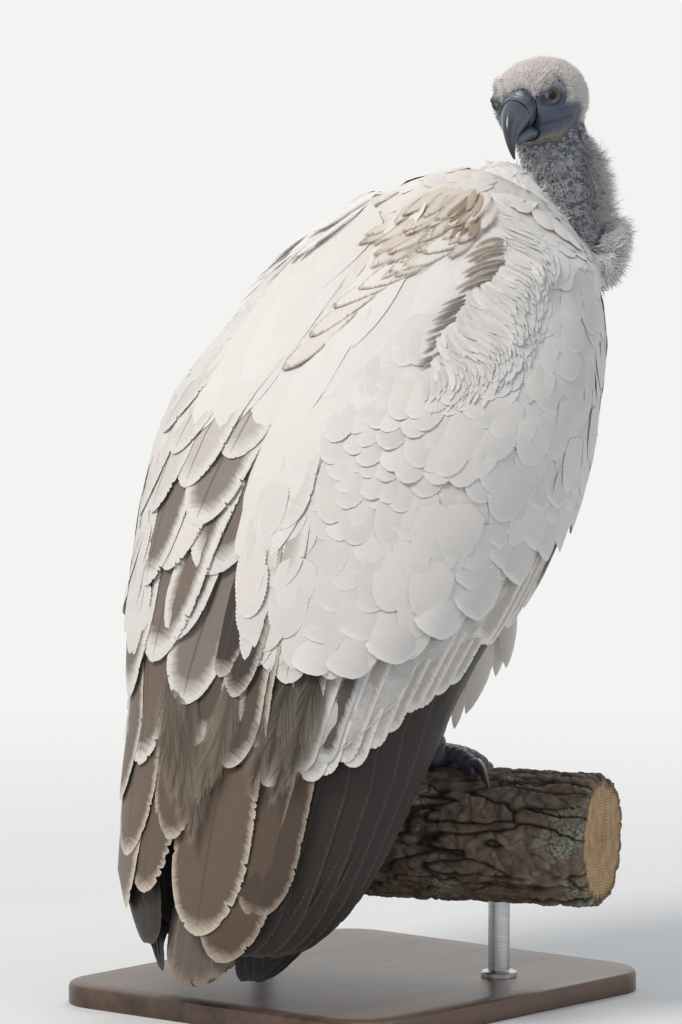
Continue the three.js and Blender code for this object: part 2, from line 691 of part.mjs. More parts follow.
const stand = new THREE.Group();
function baseShape() {
  const { width, depth, corner } = BASE;
  const [w, d] = [width / 2 - corner, depth / 2 - corner];
  const shape = new THREE.Shape();
  shape.moveTo(-w, -depth / 2);
  shape.lineTo(w, -depth / 2);
  shape.absarc(w, -d, corner, -Math.PI / 2, 0);
  shape.lineTo(width / 2, d);
  shape.absarc(w, d, corner, 0, Math.PI / 2);
  shape.lineTo(-w, depth / 2);
  shape.absarc(-w, d, corner, Math.PI / 2, Math.PI);
  shape.lineTo(-width / 2, -d);
  shape.absarc(-w, -d, corner, Math.PI, 1.5 * Math.PI);
  return shape;
}
const base = new THREE.ExtrudeGeometry(baseShape(), {
  depth: BASE.height,
  bevelEnabled: false,
  curveSegments: 3,
});
base.deleteAttribute("uv");
base.deleteAttribute("normal");
add("stand_base", mergeVertices(base), STAND, stand);

const logBottom = PERCH_TOP - LOG_RADIUS * 2;
for (const [name, side] of [["left", 1], ["right", -1]]) {
  const height = logBottom - BASE.height + ROD.intoLog;
  const rod = new THREE.CylinderGeometry(ROD.radius, ROD.radius, height, 12);
  rod.deleteAttribute("uv");
  rod.deleteAttribute("normal");
  const place = logAlong.clone().multiplyScalar(side * ROD.spread);
  const placed = mergeVertices(rod)
    .rotateX(Math.PI / 2)
    .translate(place.x, place.y - BASE.backset, BASE.height + GAP + height / 2);
  const raised = log(GAP).translate(0, -BASE.backset, PERCH_TOP);
  add(`stand_rod_${name}`, carve(placed, raised), STAND, stand);
}

const vulture = new THREE.Group();
vulture.add(bird, stand);

export default vulture;
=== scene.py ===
"""A life-size Cape vulture on a cut log, dressed over its CAD frame.

Lengths are millimetres in the bird's own frame, whose origin is the log's top between the feet: +X is the
bird's left, -Y the way its breast faces and +Z up. to_world() turns them into Blender's metres. Each
feather is a mesh vane that follows the body, laid in rows on the wings and back and scattered elsewhere.
"""
import math

import bmesh
import bpy
import numpy as np
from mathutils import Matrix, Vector, noise
from mathutils.bvhtree import BVHTree


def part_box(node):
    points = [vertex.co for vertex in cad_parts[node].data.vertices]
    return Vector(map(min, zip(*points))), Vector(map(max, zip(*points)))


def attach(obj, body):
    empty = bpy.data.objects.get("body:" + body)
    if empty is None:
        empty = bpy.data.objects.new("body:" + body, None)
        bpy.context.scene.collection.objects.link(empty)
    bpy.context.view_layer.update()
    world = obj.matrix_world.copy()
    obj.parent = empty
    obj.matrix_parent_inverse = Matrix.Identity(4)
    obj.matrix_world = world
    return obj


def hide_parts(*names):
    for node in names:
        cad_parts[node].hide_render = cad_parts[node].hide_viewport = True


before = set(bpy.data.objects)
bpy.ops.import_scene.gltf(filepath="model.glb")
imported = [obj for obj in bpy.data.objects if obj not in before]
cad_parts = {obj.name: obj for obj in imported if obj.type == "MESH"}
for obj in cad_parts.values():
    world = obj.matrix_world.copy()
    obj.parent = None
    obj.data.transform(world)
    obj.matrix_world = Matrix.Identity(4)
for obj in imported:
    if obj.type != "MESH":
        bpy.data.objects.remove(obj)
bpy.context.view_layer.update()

SEED = 11
rng = np.random.default_rng(SEED)
noise.seed_set(SEED)
MM = 0.001


def unit(v):
    v = np.asarray(v, float)
    return v / np.maximum(np.linalg.norm(v, axis=-1, keepdims=True), 1e-12)


def middle(node):
    low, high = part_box(node)
    return (np.array(low) + np.array(high)) / 2


rod_line = middle("stand_rod_left") - middle("stand_rod_right")
LOG_ALONG = unit([rod_line[0], rod_line[1], 0])
LOG_ACROSS = np.array([-LOG_ALONG[1], LOG_ALONG[0], 0])
log_low, log_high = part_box("perch_log")
FEET = np.array([*middle("perch_log")[:2], log_high.z]) / MM
LOG_RADIUS = (log_high.z - log_low.z) / MM / 2


def to_world(p):
    return (np.asarray(p, float) + FEET) * MM


def to_bird(p):
    return np.asarray(p, float) / MM - FEET


def ease(t):
    t = np.clip(t, 0, 1)
    return t * t * (3 - 2 * t)


def mix(a, b, t):
    return a + (b - a) * t


def bell(*offsets):
    """1 where every offset is 0, falling away on all sides like a bell."""
    total = 0.0
    for offset in offsets:
        total = total - offset**2
    return np.exp(total)


def smooth(table):
    """A smooth function through the rows of a table whose first column is the key."""
    rows = np.array(sorted(table), float)
    keys, values = rows[:, 0], rows[:, 1:]
    place = np.arange(len(keys))
    before, after = np.maximum(place - 1, 0), np.minimum(place + 1, len(keys) - 1)
    slopes = (values[after] - values[before]) / (keys[after] - keys[before])[:, None]

    def at(key):
        key = np.clip(np.asarray(key, float), keys[0], keys[-1])
        i = np.clip(np.searchsorted(keys, key, "right") - 1, 0, len(keys) - 2)
        h = keys[i + 1] - keys[i]
        t = ((key - keys[i]) / h)[..., None]
        m0, m1 = slopes[i] * h[..., None], slopes[i + 1] * h[..., None]
        bend = t * (1 - t)
        return values[i] + ease(t) * (values[i + 1] - values[i]) + bend * ((1 - t) * m0 - t * m1)

    return at


def srgb(r, g, b):
    """A colour as it looks on a screen, from 0 to 255, as the linear values that Blender takes."""
    c = np.array([r, g, b]) / 255
    return np.where(c <= 0.04045, c / 12.92, ((c + 0.055) / 1.055) ** 2.4)


WHITE = srgb(234, 227, 220)
CREAM = srgb(226, 213, 195)
SNOW = srgb(240, 237, 233)
TAN = srgb(178, 156, 134)
BROWN = srgb(116, 97, 82)
GREY_BROWN = srgb(134, 122, 112)
DARK = srgb(52, 46, 43)
BLACK = srgb(34, 31, 31)
PALE_GREY = srgb(205, 204, 202)
FACE_BLUE = srgb(84, 92, 110)
LID_BLUE = srgb(122, 138, 154)
NECK_BLUE = srgb(100, 104, 118)
SLATE = srgb(62, 70, 82)

# ---------------------------------------------------------------- camera, light and floor
VIEW_AZIMUTH = 220
VIEW_ELEVATION = 6
VIEW_DISTANCE = 6000
VIEW_HEIGHT = 853  # millimetres that the picture takes in from bottom to top, at the bird
VIEW_CENTRE = (-32.5, 208)  # right of the feet and above them, across the line of sight
SENSOR = 36


KEY_COLOUR, FILL_COLOUR, RIM_COLOUR = (1.0, 0.96, 0.915), (0.86, 0.92, 1.0), (1.0, 0.98, 0.95)
LIT_HEIGHT = 0.5  # metres above the floor, where the lamps point
SKY, SKY_STRENGTH = (0.82, 0.9, 1.0, 1), 0.38


def direction(azimuth, elevation):
    """The way out from the object at an azimuth, from -Y towards +X, and an elevation, both in degrees."""
    a, e = math.radians(azimuth), math.radians(elevation)
    return np.array([math.sin(a) * math.cos(e), -math.cos(a) * math.cos(e), math.sin(e)])


def show(name, data):
    """A new object in the scene that holds this data."""
    obj = bpy.data.objects.new(name, data)
    bpy.context.scene.collection.objects.link(obj)
    return obj


def aim(obj, place, out):
    """Puts a camera or lamp at a place, in metres, and turns it to look against the direction out."""
    obj.location = place
    obj.rotation_mode = "QUATERNION"
    obj.rotation_quaternion = Vector(-out).to_track_quat("-Z", "Y")


def make_camera():
    out = direction(VIEW_AZIMUTH, VIEW_ELEVATION)
    right = unit(np.cross([0, 0, 1], out))
    target = right * VIEW_CENTRE[0] + np.cross(out, right) * VIEW_CENTRE[1]
    data = bpy.data.cameras.new("camera")
    data.sensor_fit = "VERTICAL"
    data.sensor_height = SENSOR
    data.sensor_width = SENSOR
    data.lens = SENSOR * VIEW_DISTANCE / VIEW_HEIGHT
    data.clip_end = 100
    camera = show("camera", data)
    aim(camera, to_world(target + out * VIEW_DISTANCE), out)
    bpy.context.scene.camera = camera


def area_light(name, azimuth, elevation, distance, size, power, colour):
    data = bpy.data.lights.new(name, "AREA")
    data.shape = "DISK"
    data.size = size
    data.energy = power
    data.color = colour
    out = direction(azimuth, elevation)
    aim(show(name, data), out * distance + [0, 0, LIT_HEIGHT], out)


def make_studio():
    """A plain pale backdrop for the camera, soft light from all round, and three lamps."""
    world = bpy.data.worlds.new("studio")
    bpy.context.scene.world = world
    world.use_nodes = True
    world.node_tree.nodes.clear()
    nodes = Nodes(world.node_tree)
    seen = nodes.node("Background", Color=BACKDROP, Strength=1.0)
    soft = nodes.node("Background", Color=SKY, Strength=SKY_STRENGTH)
    blend = nodes.mix_shaders(nodes.seen_rays(), soft.outputs[0], seen.outputs[0])
    nodes.node("OutputWorld", Surface=blend)
    area_light("key", azimuth=VIEW_AZIMUTH - 58, elevation=48, distance=3.0, size=1.1, power=63,
               colour=KEY_COLOUR)
    area_light("fill", azimuth=VIEW_AZIMUTH + 60, elevation=18, distance=3.2, size=2.6, power=12,
               colour=FILL_COLOUR)
    area_light("rim", azimuth=VIEW_AZIMUTH + 165, elevation=40, distance=3.0, size=1.4, power=26,
               colour=RIM_COLOUR)


FLOOR_NEAR, FLOOR_FAR = 0.45, 1.9  # metres from the stand where the floor starts to fade into the backdrop
BACKDROP = (0.90, 0.90, 0.89, 1)


def make_floor():
    """A pale floor that keeps the stand's shadow and fades into a plain pale backdrop."""
    bpy.ops.mesh.primitive_circle_add(vertices=96, radius=60, fill_type="NGON")
    floor = bpy.context.object
    floor.name = "floor"
    look = Look("floor", 0.9)
    grain = look.stripes(look.place(), scale=3.0)
    near = look.blend(grain, (0.78, 0.78, 0.77), (0.82, 0.82, 0.81))
    look.put(look.shader, "Base Color", near)
    far = look.node("Emission", Color=BACKDROP)
    away = look.node("VectorMath", **{"0": look.place()})
    away.operation = "LENGTH"
    fade = look.node("MapRange", Value=away.outputs["Value"], From_Min=FLOOR_NEAR, From_Max=FLOOR_FAR)
    fade.interpolation_type = "SMOOTHSTEP"
    share = look.times(fade.outputs[0], look.seen_rays())
    mixed = look.mix_shaders(share, look.shader.outputs[0], far.outputs[0])
    look.put(look.tree.nodes["Material Output"], "Surface", mixed)
    floor.data.materials.append(look.material)


# ---------------------------------------------------------------- materials
class Nodes:
    """A node tree, and short ways to add to it."""

    def __init__(self, tree):
        self.tree = tree

    def node(self, kind, **inputs):
        node = self.tree.nodes.new("ShaderNode" + kind)
        for socket, value in inputs.items():
            self.put(node, socket.replace("_", " "), value)
        return node

    def put(self, node, socket, value):
        where = node.inputs[int(socket)] if socket.isdigit() else node.inputs[socket]
        if isinstance(value, bpy.types.NodeSocket):
            self.tree.links.new(value, where)
        else:
            where.default_value = value

    def math(self, operation, a, b=0.0):
        node = self.node("Math", **{"0": a, "1": b})
        node.operation = operation
        return node.outputs[0]

    def add(self, a, b):
        return self.math("ADD", a, b)

    def times(self, a, b):
        return self.math("MULTIPLY", a, b)

    def mix_shaders(self, share, a, b):
        return self.node("MixShader", **{"0": share, "1": a, "2": b}).outputs[0]

    def seen_rays(self):
        """1 for the rays that show the backdrop, straight or in a reflection, and 0 for those that light."""
        path = self.node("LightPath")
        return self.math("MAXIMUM", path.outputs["Is Camera Ray"], path.outputs["Is Glossy Ray"])

    def range(self, value, low, high):
        """A value from 0 to 1, moved to run from low to high."""
        return self.node("MapRange", Value=value, To_Min=low, To_Max=high).outputs[0]

    def blend(self, amount, a, b, mode="MIX"):
        node = self.node("Mix")
        node.data_type = "RGBA"
        node.blend_type = mode
        for socket, value in ((0, amount), (6, a), (7, b)):
            if isinstance(value, bpy.types.NodeSocket):
                self.tree.links.new(value, node.inputs[socket])
            else:
                is_colour = hasattr(value, "__len__")
                node.inputs[socket].default_value = (*value[:3], 1) if is_colour else value
        return node.outputs[2]

    def ramp(self, value, low, high):
        """0 where the value is low and 1 where it is high."""
        return self.node("MapRange", Value=value, From_Min=low, From_Max=high).outputs[0]

    def fade(self, value, low, high, a, b):
        """a where the value is low and b where it is high."""
        return self.blend(self.ramp(value, low, high), a, b)

    def stripes(self, vector, scale, detail=3.0):
        return self.node("TexNoise", Vector=vector, Scale=scale, Detail=detail).outputs["Fac"]

    def stretch(self, vector, x, y, z=1.0):
        return self.node("Mapping", Vector=vector, Scale=(x, y, z)).outputs["Vector"]

    def attribute(self, name):
        node = self.node("Attribute")
        node.attribute_name = name
        return node

    def uv(self, name):
        node = self.node("UVMap")
        node.uv_map = name
        return node.outputs["UV"]

    def place(self):
        return self.node("TexCoord").outputs["Object"]


class Look(Nodes):
    """A material on the Principled shader."""

    def __init__(self, name, roughness, **fixed):
        self.material = bpy.data.materials.new(name)
        self.material.use_nodes = True
        super().__init__(self.material.node_tree)
        self.shader = self.tree.nodes["Principled BSDF"]
        self.shader.inputs["Roughness"].default_value = roughness
        for socket, value in fixed.items():
            self.shader.inputs[socket.replace("_", " ")].default_value = value

    def bump(self, height, strength, distance):
        node = self.node("Bump", Height=height, Strength=strength, Distance=distance)
        self.put(self.shader, "Normal", node.outputs["Normal"])

    def colour(self, value):
        self.put(self.shader, "Base Color", value)
        return self.material


def feather_look(name, roughness=0.75, streak=0.16, sheen=0.15, rachis=0.0, soft=0.16):
    """Feather vanes: hue inside, fringe along the edge, with fine lines where the barbs lie.
    The map "barb" holds the distance in from the edge and the place along the rachis, in centimetres."""
    look = Look(name, roughness, Sheen_Weight=sheen, Sheen_Roughness=0.4, Specular_IOR_Level=0.25)
    hue, fringe = look.attribute("hue"), look.attribute("fringe")
    barb = look.uv("barb")
    split = look.node("SeparateXYZ", Vector=barb)
    fine = look.stripes(look.stretch(barb, 0.9, 16), scale=1.0, detail=2.0)
    broad = look.stripes(look.stretch(barb, 0.6, 3.2), scale=1.0, detail=2.0)
    ragged = look.times(look.math("SUBTRACT", broad, 0.5), 0.6)
    depth = look.add(split.outputs[0], ragged)
    inside = look.ramp(look.math("SUBTRACT", depth, hue.outputs["Alpha"]), -soft, soft * 1.4)
    base = look.blend(inside, fringe.outputs["Color"], hue.outputs["Color"])
    lines = look.ramp(fine, 0.3, 0.7)
    shaded = look.blend(streak, base, look.blend(lines, (0.25, 0.22, 0.2), (1, 1, 1)), "MULTIPLY")
    if rachis:
        vane = look.node("SeparateXYZ", Vector=look.uv("vane")).outputs[0]
        off = look.math("ABSOLUTE", look.math("SUBTRACT", vane, 0.5))
        line = look.ramp(off, 0.03, 0.008)
        shaded = look.blend(look.times(line, rachis), shaded, BROWN * 0.6)
    look.bump(fine, strength=0.35, distance=0.0006)
    return look.colour(shaded)


def down_look(name, root=0.62):
    """Fine down: its own hue, darker towards the root as painted shade deep in the coat."""
    look = Look(name, 0.85, Sheen_Weight=0.2, Sheen_Roughness=0.5, Specular_IOR_Level=0.15)
    hue = look.attribute("hue")
    along = look.node("SeparateXYZ", Vector=look.uv("vane")).outputs[1]
    # painted shade: each blade darkens from halfway along down to its root, and root sets how dark
    depth = look.fade(along, 0.0, 0.5, (root, root, root * 1.06), (1, 1, 1))
    mottle = look.stripes(look.place(), scale=260, detail=2.0)
    patches = look.fade(mottle, 0.3, 0.7, (0.86, 0.86, 0.88), (1, 1, 1))
    base = look.blend(1.0, hue.outputs["Color"], depth, "MULTIPLY")
    return look.colour(look.blend(1.0, base, patches, "MULTIPLY"))


def skin_look():
    """Bare skin of the face and neck, with pores and fine wrinkles. The hue is held by the mesh."""
    look = Look("skin", 0.55, Specular_IOR_Level=0.35, Sheen_Weight=0.1)
    hue = look.attribute("hue")
    place = look.place()
    blotch = look.stripes(place, scale=90, detail=4.0)
    pores = look.node("TexVoronoi", Vector=place, Scale=620.0)
    wrinkles = look.stripes(look.stretch(place, 1, 1, 3.2), scale=260, detail=4.0)
    base = look.blend(look.ramp(blotch, 0.3, 0.75), hue.outputs["Color"], (0.5, 0.52, 0.58), "MULTIPLY")
    lit = look.blend(0.45, hue.outputs["Color"], base)
    height = look.add(pores.outputs["Distance"], look.times(wrinkles, 1.6))
    look.bump(height, strength=0.5, distance=0.0006)
    return look.colour(lit)


def horn_look(name, dark, light, roughness=0.3):
    """Bill or claw horn: growth lines along it, lighter where it is thick, with a soft shine."""
    look = Look(name, roughness, Coat_Weight=0.25, Coat_Roughness=0.2, Specular_IOR_Level=0.5)
    place = look.place()
    hue = look.attribute("hue")
    clouds = look.stripes(place, scale=60, detail=4.0)
    lines = look.stripes(look.stretch(look.uv("vane"), 6, 60), scale=1.0, detail=3.0)
    base = look.fade(clouds, 0.25, 0.8, dark, light)
    base = look.blend(look.times(look.ramp(lines, 0.35, 0.8), 0.35), base, light)
    base = look.blend(1.0, base, hue.outputs["Color"], "MULTIPLY")
    look.put(look.shader, "Roughness", look.range(clouds, low=roughness - 0.08, high=roughness + 0.12))
    look.bump(look.add(lines, look.times(clouds, 0.5)), strength=0.2, distance=0.0005)
    return look.colour(base)


def scale_look():
    """Slate scutes with paler seams between them, on toes and shanks. The seam is held by the mesh."""
    look = Look("scales", 0.5, Specular_IOR_Level=0.4)
    hue = look.attribute("hue")
    place = look.place()
    grain = look.stripes(place, scale=140, detail=4.0)
    cells = look.node("TexVoronoi", Vector=place, Scale=420.0)
    base = look.fade(grain, 0.3, 0.75, SLATE * 0.5, SLATE * 1.15)
    base = look.blend(hue.outputs["Alpha"], base, srgb(138, 146, 152))
    look.bump(look.add(cells.outputs["Distance"], grain), strength=0.45, distance=0.0007)
    return look.colour(base)


def eye_look():
    """An eye: black pupil, dull straw iris with fine rays, and a dark rim. The map "vane" holds the way
    out from the axis."""
    look = Look("eye", 0.15, Coat_Weight=0.18, Coat_Roughness=0.03, Specular_IOR_Level=0.15)
    split = look.node("SeparateXYZ", Vector=look.uv("vane"))
    rays = look.stripes(look.stretch(look.uv("vane"), 40, 5), scale=1.0, detail=3.0)
    ring = look.add(split.outputs[1], look.times(rays, 0.03))
    # the iris is a dull straw, darkened in part as painted shade from the brow
    iris = look.fade(rays, 0.25, 0.75, srgb(72, 58, 30), srgb(120, 98, 52))
    inner = look.fade(ring, 0.30, 0.33, (0.004, 0.004, 0.005), iris)
    outer = look.fade(ring, 0.60, 0.70, inner, srgb(38, 30, 26))
    return look.colour(outer)


def bark_look():
    """Bark in furrowed plates. The mesh holds how deep a place lies, and the cut ends show rings."""
    look = Look("bark", 0.9, Specular_IOR_Level=0.2)
    depth = look.attribute("hue")
    place = look.place()
    fibres = look.stripes(look.stretch(look.uv("vane"), 26, 260), scale=1.0, detail=6.0)
    clouds = look.stripes(place, scale=24, detail=5.0)
    specks = look.stripes(place, scale=420, detail=3.0)
    grain = look.stripes(place, scale=90, detail=6.0)
    plate = look.fade(grain, 0.3, 0.7, srgb(84, 70, 60), srgb(150, 134, 118))
    plate = look.blend(look.times(look.ramp(fibres, 0.35, 0.7), 0.35), plate, srgb(104, 86, 70))
    lichen = look.times(look.ramp(clouds, 0.56, 0.66), look.ramp(specks, 0.42, 0.6))
    plate = look.blend(lichen, plate, srgb(158, 162, 146))
    shade = look.ramp(depth.outputs["Alpha"], 0.05, 0.75)
    base = look.blend(shade, srgb(48, 38, 32), plate)
    outwards = look.node("SeparateXYZ", Vector=look.uv("vane")).outputs[0]
    wavy = look.add(look.times(outwards, 118.0), look.times(clouds, 16.0))
    ring = look.ramp(look.math("SINE", wavy), -0.9, 0.6)
    wood = look.blend(ring, srgb(140, 106, 74), srgb(196, 164, 126))
    wood = look.blend(look.times(look.ramp(grain, 0.4, 0.75), 0.4), wood, srgb(226, 200, 164))
    wood = look.blend(look.times(look.ramp(outwards, 0.86, 0.96), 0.75), wood, srgb(84, 62, 46))
    is_end = look.node("SeparateColor", Color=depth.outputs["Color"]).outputs[0]
    look.bump(look.add(fibres, look.times(specks, 0.4)), strength=0.6, distance=0.0012)
    return look.colour(look.blend(is_end, base, wood))


def wood_look():
    look = Look("stained_wood", 0.38, Coat_Weight=0.15, Coat_Roughness=0.25)
    place = look.place()
    grain = look.stripes(look.stretch(place, 60, 5, 60), scale=1.0, detail=6.0)
    rings = look.stripes(look.stretch(place, 14, 1.4, 14), scale=1.0, detail=3.0)
    both = look.add(look.times(grain, 0.6), look.times(rings, 0.5))
    base = look.fade(both, 0.38, 0.7, srgb(44, 32, 25), srgb(98, 72, 54))
    look.bump(grain, strength=0.12, distance=0.0004)
    return look.colour(base)


def steel_look():
    look = Look("brushed_steel", 0.3, Metallic=1.0)
    brush = look.stripes(look.stretch(look.place(), 60, 60, 2400), scale=1.0, detail=2.0)
    look.put(look.shader, "Roughness", look.range(brush, low=0.22, high=0.42))
    base = look.fade(brush, 0.3, 0.7, srgb(168, 168, 170), srgb(206, 206, 208))
    look.bump(brush, strength=0.03, distance=0.00005)
    return look.colour(base)


# ---------------------------------------------------------------- meshes
def piece(name, points, faces, look, slot, replaced=(), uvs=None, colours=None):
    """One shown mesh that rides on the body. uvs and colours hold a value for each point."""
    mesh = bpy.data.meshes.new(name)
    points = to_world(points)
    faces = np.asarray(faces, np.int32)
    corners = faces.shape[1]
    mesh.vertices.add(len(points))
    mesh.vertices.foreach_set("co", points.astype(np.float32).ravel())
    mesh.loops.add(faces.size)
    mesh.loops.foreach_set("vertex_index", faces.ravel())
    mesh.polygons.add(len(faces))
    mesh.polygons.foreach_set("loop_start", np.arange(0, faces.size, corners, dtype=np.int32))
    mesh.polygons.foreach_set("use_smooth", np.ones(len(faces), bool))
    for key, value in (uvs or {}).items():
        layer = mesh.uv_layers.new(name=key, do_init=False)
        layer.data.foreach_set("uv", np.asarray(value, np.float32)[faces.ravel()].ravel())
    for key, value in (colours or {}).items():
        layer = mesh.color_attributes.new(key, "FLOAT_COLOR", "POINT")
        layer.data.foreach_set("color", np.asarray(value, np.float32).ravel())
    mesh.update(calc_edges=True)
    mesh.validate()
    mesh.materials.append(look)
    return dress(show(name, mesh), slot, replaced)


def dress(obj, slot, replaced):
    """Makes an object part of the visual model, in place of the CAD's nodes."""
    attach(obj, "root")
    if replaced:
        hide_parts(*replaced)
    return obj


def solid(name, points, faces, look, slot, node, place, hue=(1, 1, 1, 1)):
    """A piece that replaces one node, with each point's place along and around it, and its hue."""
    hue = np.broadcast_to(np.asarray(hue, float), (len(points), 4))
    return piece(name, points, faces, look, slot, [node], {"vane": place}, {"hue": hue})


def grid_faces(rows, columns):
    """Quads between rows of equally many points, each row closed on itself."""
    r, c = np.meshgrid(np.arange(rows - 1), np.arange(columns), indexing="ij")
    right = (c + 1) % columns
    low, high = r * columns, (r + 1) * columns
    return np.stack([low + c, low + right, high + right, high + c], -1).reshape(-1, 4)


def facing_out(points, faces):
    """The faces turned so that a closed body's volume is positive."""
    a, b, c = (points[faces[:, i]] - points.mean(0) for i in range(3))
    return faces if np.einsum("ij,ij->i", a, np.cross(b, c)).sum() > 0 else faces[:, ::-1]


def closed_grid(rings):
    """The points and outward quads of a closed body, made of rings of equally many points."""
    points = rings.reshape(-1, 3)
    return points, facing_out(points, grid_faces(len(rings), rings.shape[1]))


def circle(number):
    """Evenly spaced angles round a circle, in radians."""
    return 2 * np.pi * np.arange(number) / number


def tube(centres, ups, half_wide, half_high, around, power=2.0, floor_share=1.0):
    """Rings along a centreline, closed by a point at each end. Returns points, quads and each point's
    place along and around it. floor_share flattens the underside."""
    centres, ups = np.asarray(centres, float), np.asarray(ups, float)
    along = unit(np.gradient(centres, axis=0))
    across = unit(np.cross(along, ups))
    ups = np.cross(across, along)
    c, s = np.cos(circle(around)), np.sin(circle(around))
    c = np.sign(c) * np.abs(c) ** (2 / power)
    s = np.sign(s) * np.abs(s) ** (2 / power)
    s = np.where(s < 0, s * floor_share, s)[None, :, None]
    wide, high = np.asarray(half_wide)[:, None, None], np.asarray(half_high)[:, None, None]
    rings = centres[:, None] + across[:, None] * wide * c[None, :, None] + ups[:, None] * high * s
    points = np.concatenate([rings.reshape(-1, 3), centres[:1], centres[-1:]])
    first, last = len(points) - 2, len(points) - 1
    k = np.arange(around)
    after = (k + 1) % around
    start = (len(centres) - 1) * around
    low_end = np.stack([after, k, 0 * k + first, 0 * k + first], -1)
    high_end = np.stack([start + k, start + after, 0 * k + last, 0 * k + last], -1)
    t, a = np.meshgrid(np.linspace(0, 1, len(centres)), k / around, indexing="ij")
    place = np.concatenate([np.stack([a.ravel(), t.ravel()], -1), [[0.5, 0], [0.5, 1]]])
    quads = np.concatenate([grid_faces(len(centres), around), low_end, high_end])
    return points, facing_out(points, quads), place


def triangles(quads):
    """Quads as triangles, leaving out those that a repeated corner makes empty."""
    tris = np.concatenate([quads[:, [0, 1, 2]], quads[:, [0, 2, 3]]])
    keep = (tris[:, 0] != tris[:, 1]) & (tris[:, 1] != tris[:, 2]) & (tris[:, 0] != tris[:, 2])
    return tris[keep]


# ---------------------------------------------------------------- the head's frame and the outer form
LEFT, RIGHT = 1, -1
SIDES = ((LEFT, "left"), (RIGHT, "right"))
HEAD_TURN = (15, -11, 195)  # degrees about X, Y and Z, applied in that order
HEAD_EYE = np.array([21.5, -24, 10.5])  # the left eye's centre in the head's own frame, bill towards -Y
EYE_RADIUS = 9.0


def head_axes():
    x, y, z = (math.radians(a) for a in HEAD_TURN)
    about_x = np.array([[1, 0, 0], [0, math.cos(x), -math.sin(x)], [0, math.sin(x), math.cos(x)]])
    about_y = np.array([[math.cos(y), 0, math.sin(y)], [0, 1, 0], [-math.sin(y), 0, math.cos(y)]])
    about_z = np.array([[math.cos(z), -math.sin(z), 0], [math.sin(z), math.cos(z), 0], [0, 0, 1]])
    return about_z @ about_y @ about_x


HEAD_AXES = head_axes()
eyes = to_bird((middle("eye_left") + middle("eye_right")) / 2)
HEAD_CENTRE = eyes - HEAD_AXES @ (HEAD_EYE * [0, 1, 1])


def from_head(p):
    return np.asarray(p, float) @ HEAD_AXES.T + HEAD_CENTRE


def to_head(p):
    return (np.asarray(p, float) - HEAD_CENTRE) @ HEAD_AXES


FLESH = {
    "head": 1.2,
    "neck_upper": 2.5,
    "neck_lower": 3.0,
    "ruff": 9.0,
    "trunk": 8.0,
    "wing_left_coverts": 7.0,
    "wing_right_coverts": 7.0,
    "thigh_left": 6.0,
    "thigh_right": 6.0,
}  # each flesh node, with the depth of the coat over it
FLESH_NAMES = list(FLESH)
SKIN_VOXEL = 3.0
CLOSE_GAPS = 0.6


def owners(*names):
    return [FLESH_NAMES.index(n) for n in names]


def node_form(name):
    """A CAD node as merged points and triangles, in the bird's frame."""
    form = bmesh.new()
    form.from_mesh(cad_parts[name].data)
    bmesh.ops.remove_doubles(form, verts=form.verts, dist=1e-6)
    bmesh.ops.triangulate(form, faces=form.faces)
    form.verts.index_update()
    form.normal_update()
    points = to_bird([v.co for v in form.verts])
    normals = np.array([v.normal for v in form.verts])
    faces = np.array([[v.index for v in f.verts] for f in form.faces])
    form.free()
    return points, normals, faces


def laplace(values, edges, counts, rounds, amount=0.5):
    """Smooths a value held at each point over the mesh's edges."""
    values = values.copy()
    a, b = edges[:, 0], edges[:, 1]
    for _ in range(rounds):
        for column in range(values.shape[1]):
            v = values[:, column]
            total = np.bincount(a, v[b], len(v)) + np.bincount(b, v[a], len(v))
            values[:, column] = v + amount * (total / counts - v)
    return values


def neighbours(edges, number):
    return np.maximum(np.bincount(edges.ravel(), minlength=number), 1)


def read(things, key, width, kind=np.float32):
    """One property of a mesh's vertices, edges or loops as an array of rows."""
    values = np.empty(len(things) * width, kind)
    things.foreach_get(key, values)
    return values.reshape(-1, width)


def mesh_arrays(mesh):
    """A mesh's points, edges and normals."""
    points, normals = (read(mesh.vertices, key, 3).astype(float) for key in ("co", "normal"))
    return points, read(mesh.edges, "vertices", 2, np.int32), normals


def move_points(mesh, points):
    mesh.vertices.foreach_set("co", points.astype(np.float32).ravel())
    mesh.update()


def mesh_tree(mesh, points):
    """A tree of a mesh's faces for finding the nearest one, with its points moved to those given."""
    return BVHTree.FromPolygons(points.tolist(), [tuple(p.vertices) for p in mesh.polygons])


def outer_form():
    """The flesh nodes as one smooth closed mesh: the outline that the coat reaches."""
    all_points, all_faces, owner, start = [], [], [], 0
    for index, name in enumerate(FLESH_NAMES):
        points, normals, faces = node_form(name)
        all_points.append(points + normals * CLOSE_GAPS)
        all_faces.append(faces + start)
        owner += [index] * len(faces)
        start += len(points)
    points, faces = np.concatenate(all_points), np.concatenate(all_faces)
    mesh = bpy.data.meshes.new("outer_form")
    mesh.from_pydata(points.tolist(), [], faces.tolist())
    obj = show("outer_form", mesh)
    remesh = obj.modifiers.new("remesh", "REMESH")
    remesh.mode = "VOXEL"
    remesh.voxel_size = SKIN_VOXEL
    graph = bpy.context.evaluated_depsgraph_get()
    made = bpy.data.meshes.new_from_object(obj.evaluated_get(graph))
    bpy.data.objects.remove(obj)
    keep_biggest(made)
    nodes = BVHTree.FromPolygons(points.tolist(), faces.tolist())
    return made, nodes, np.array(owner)


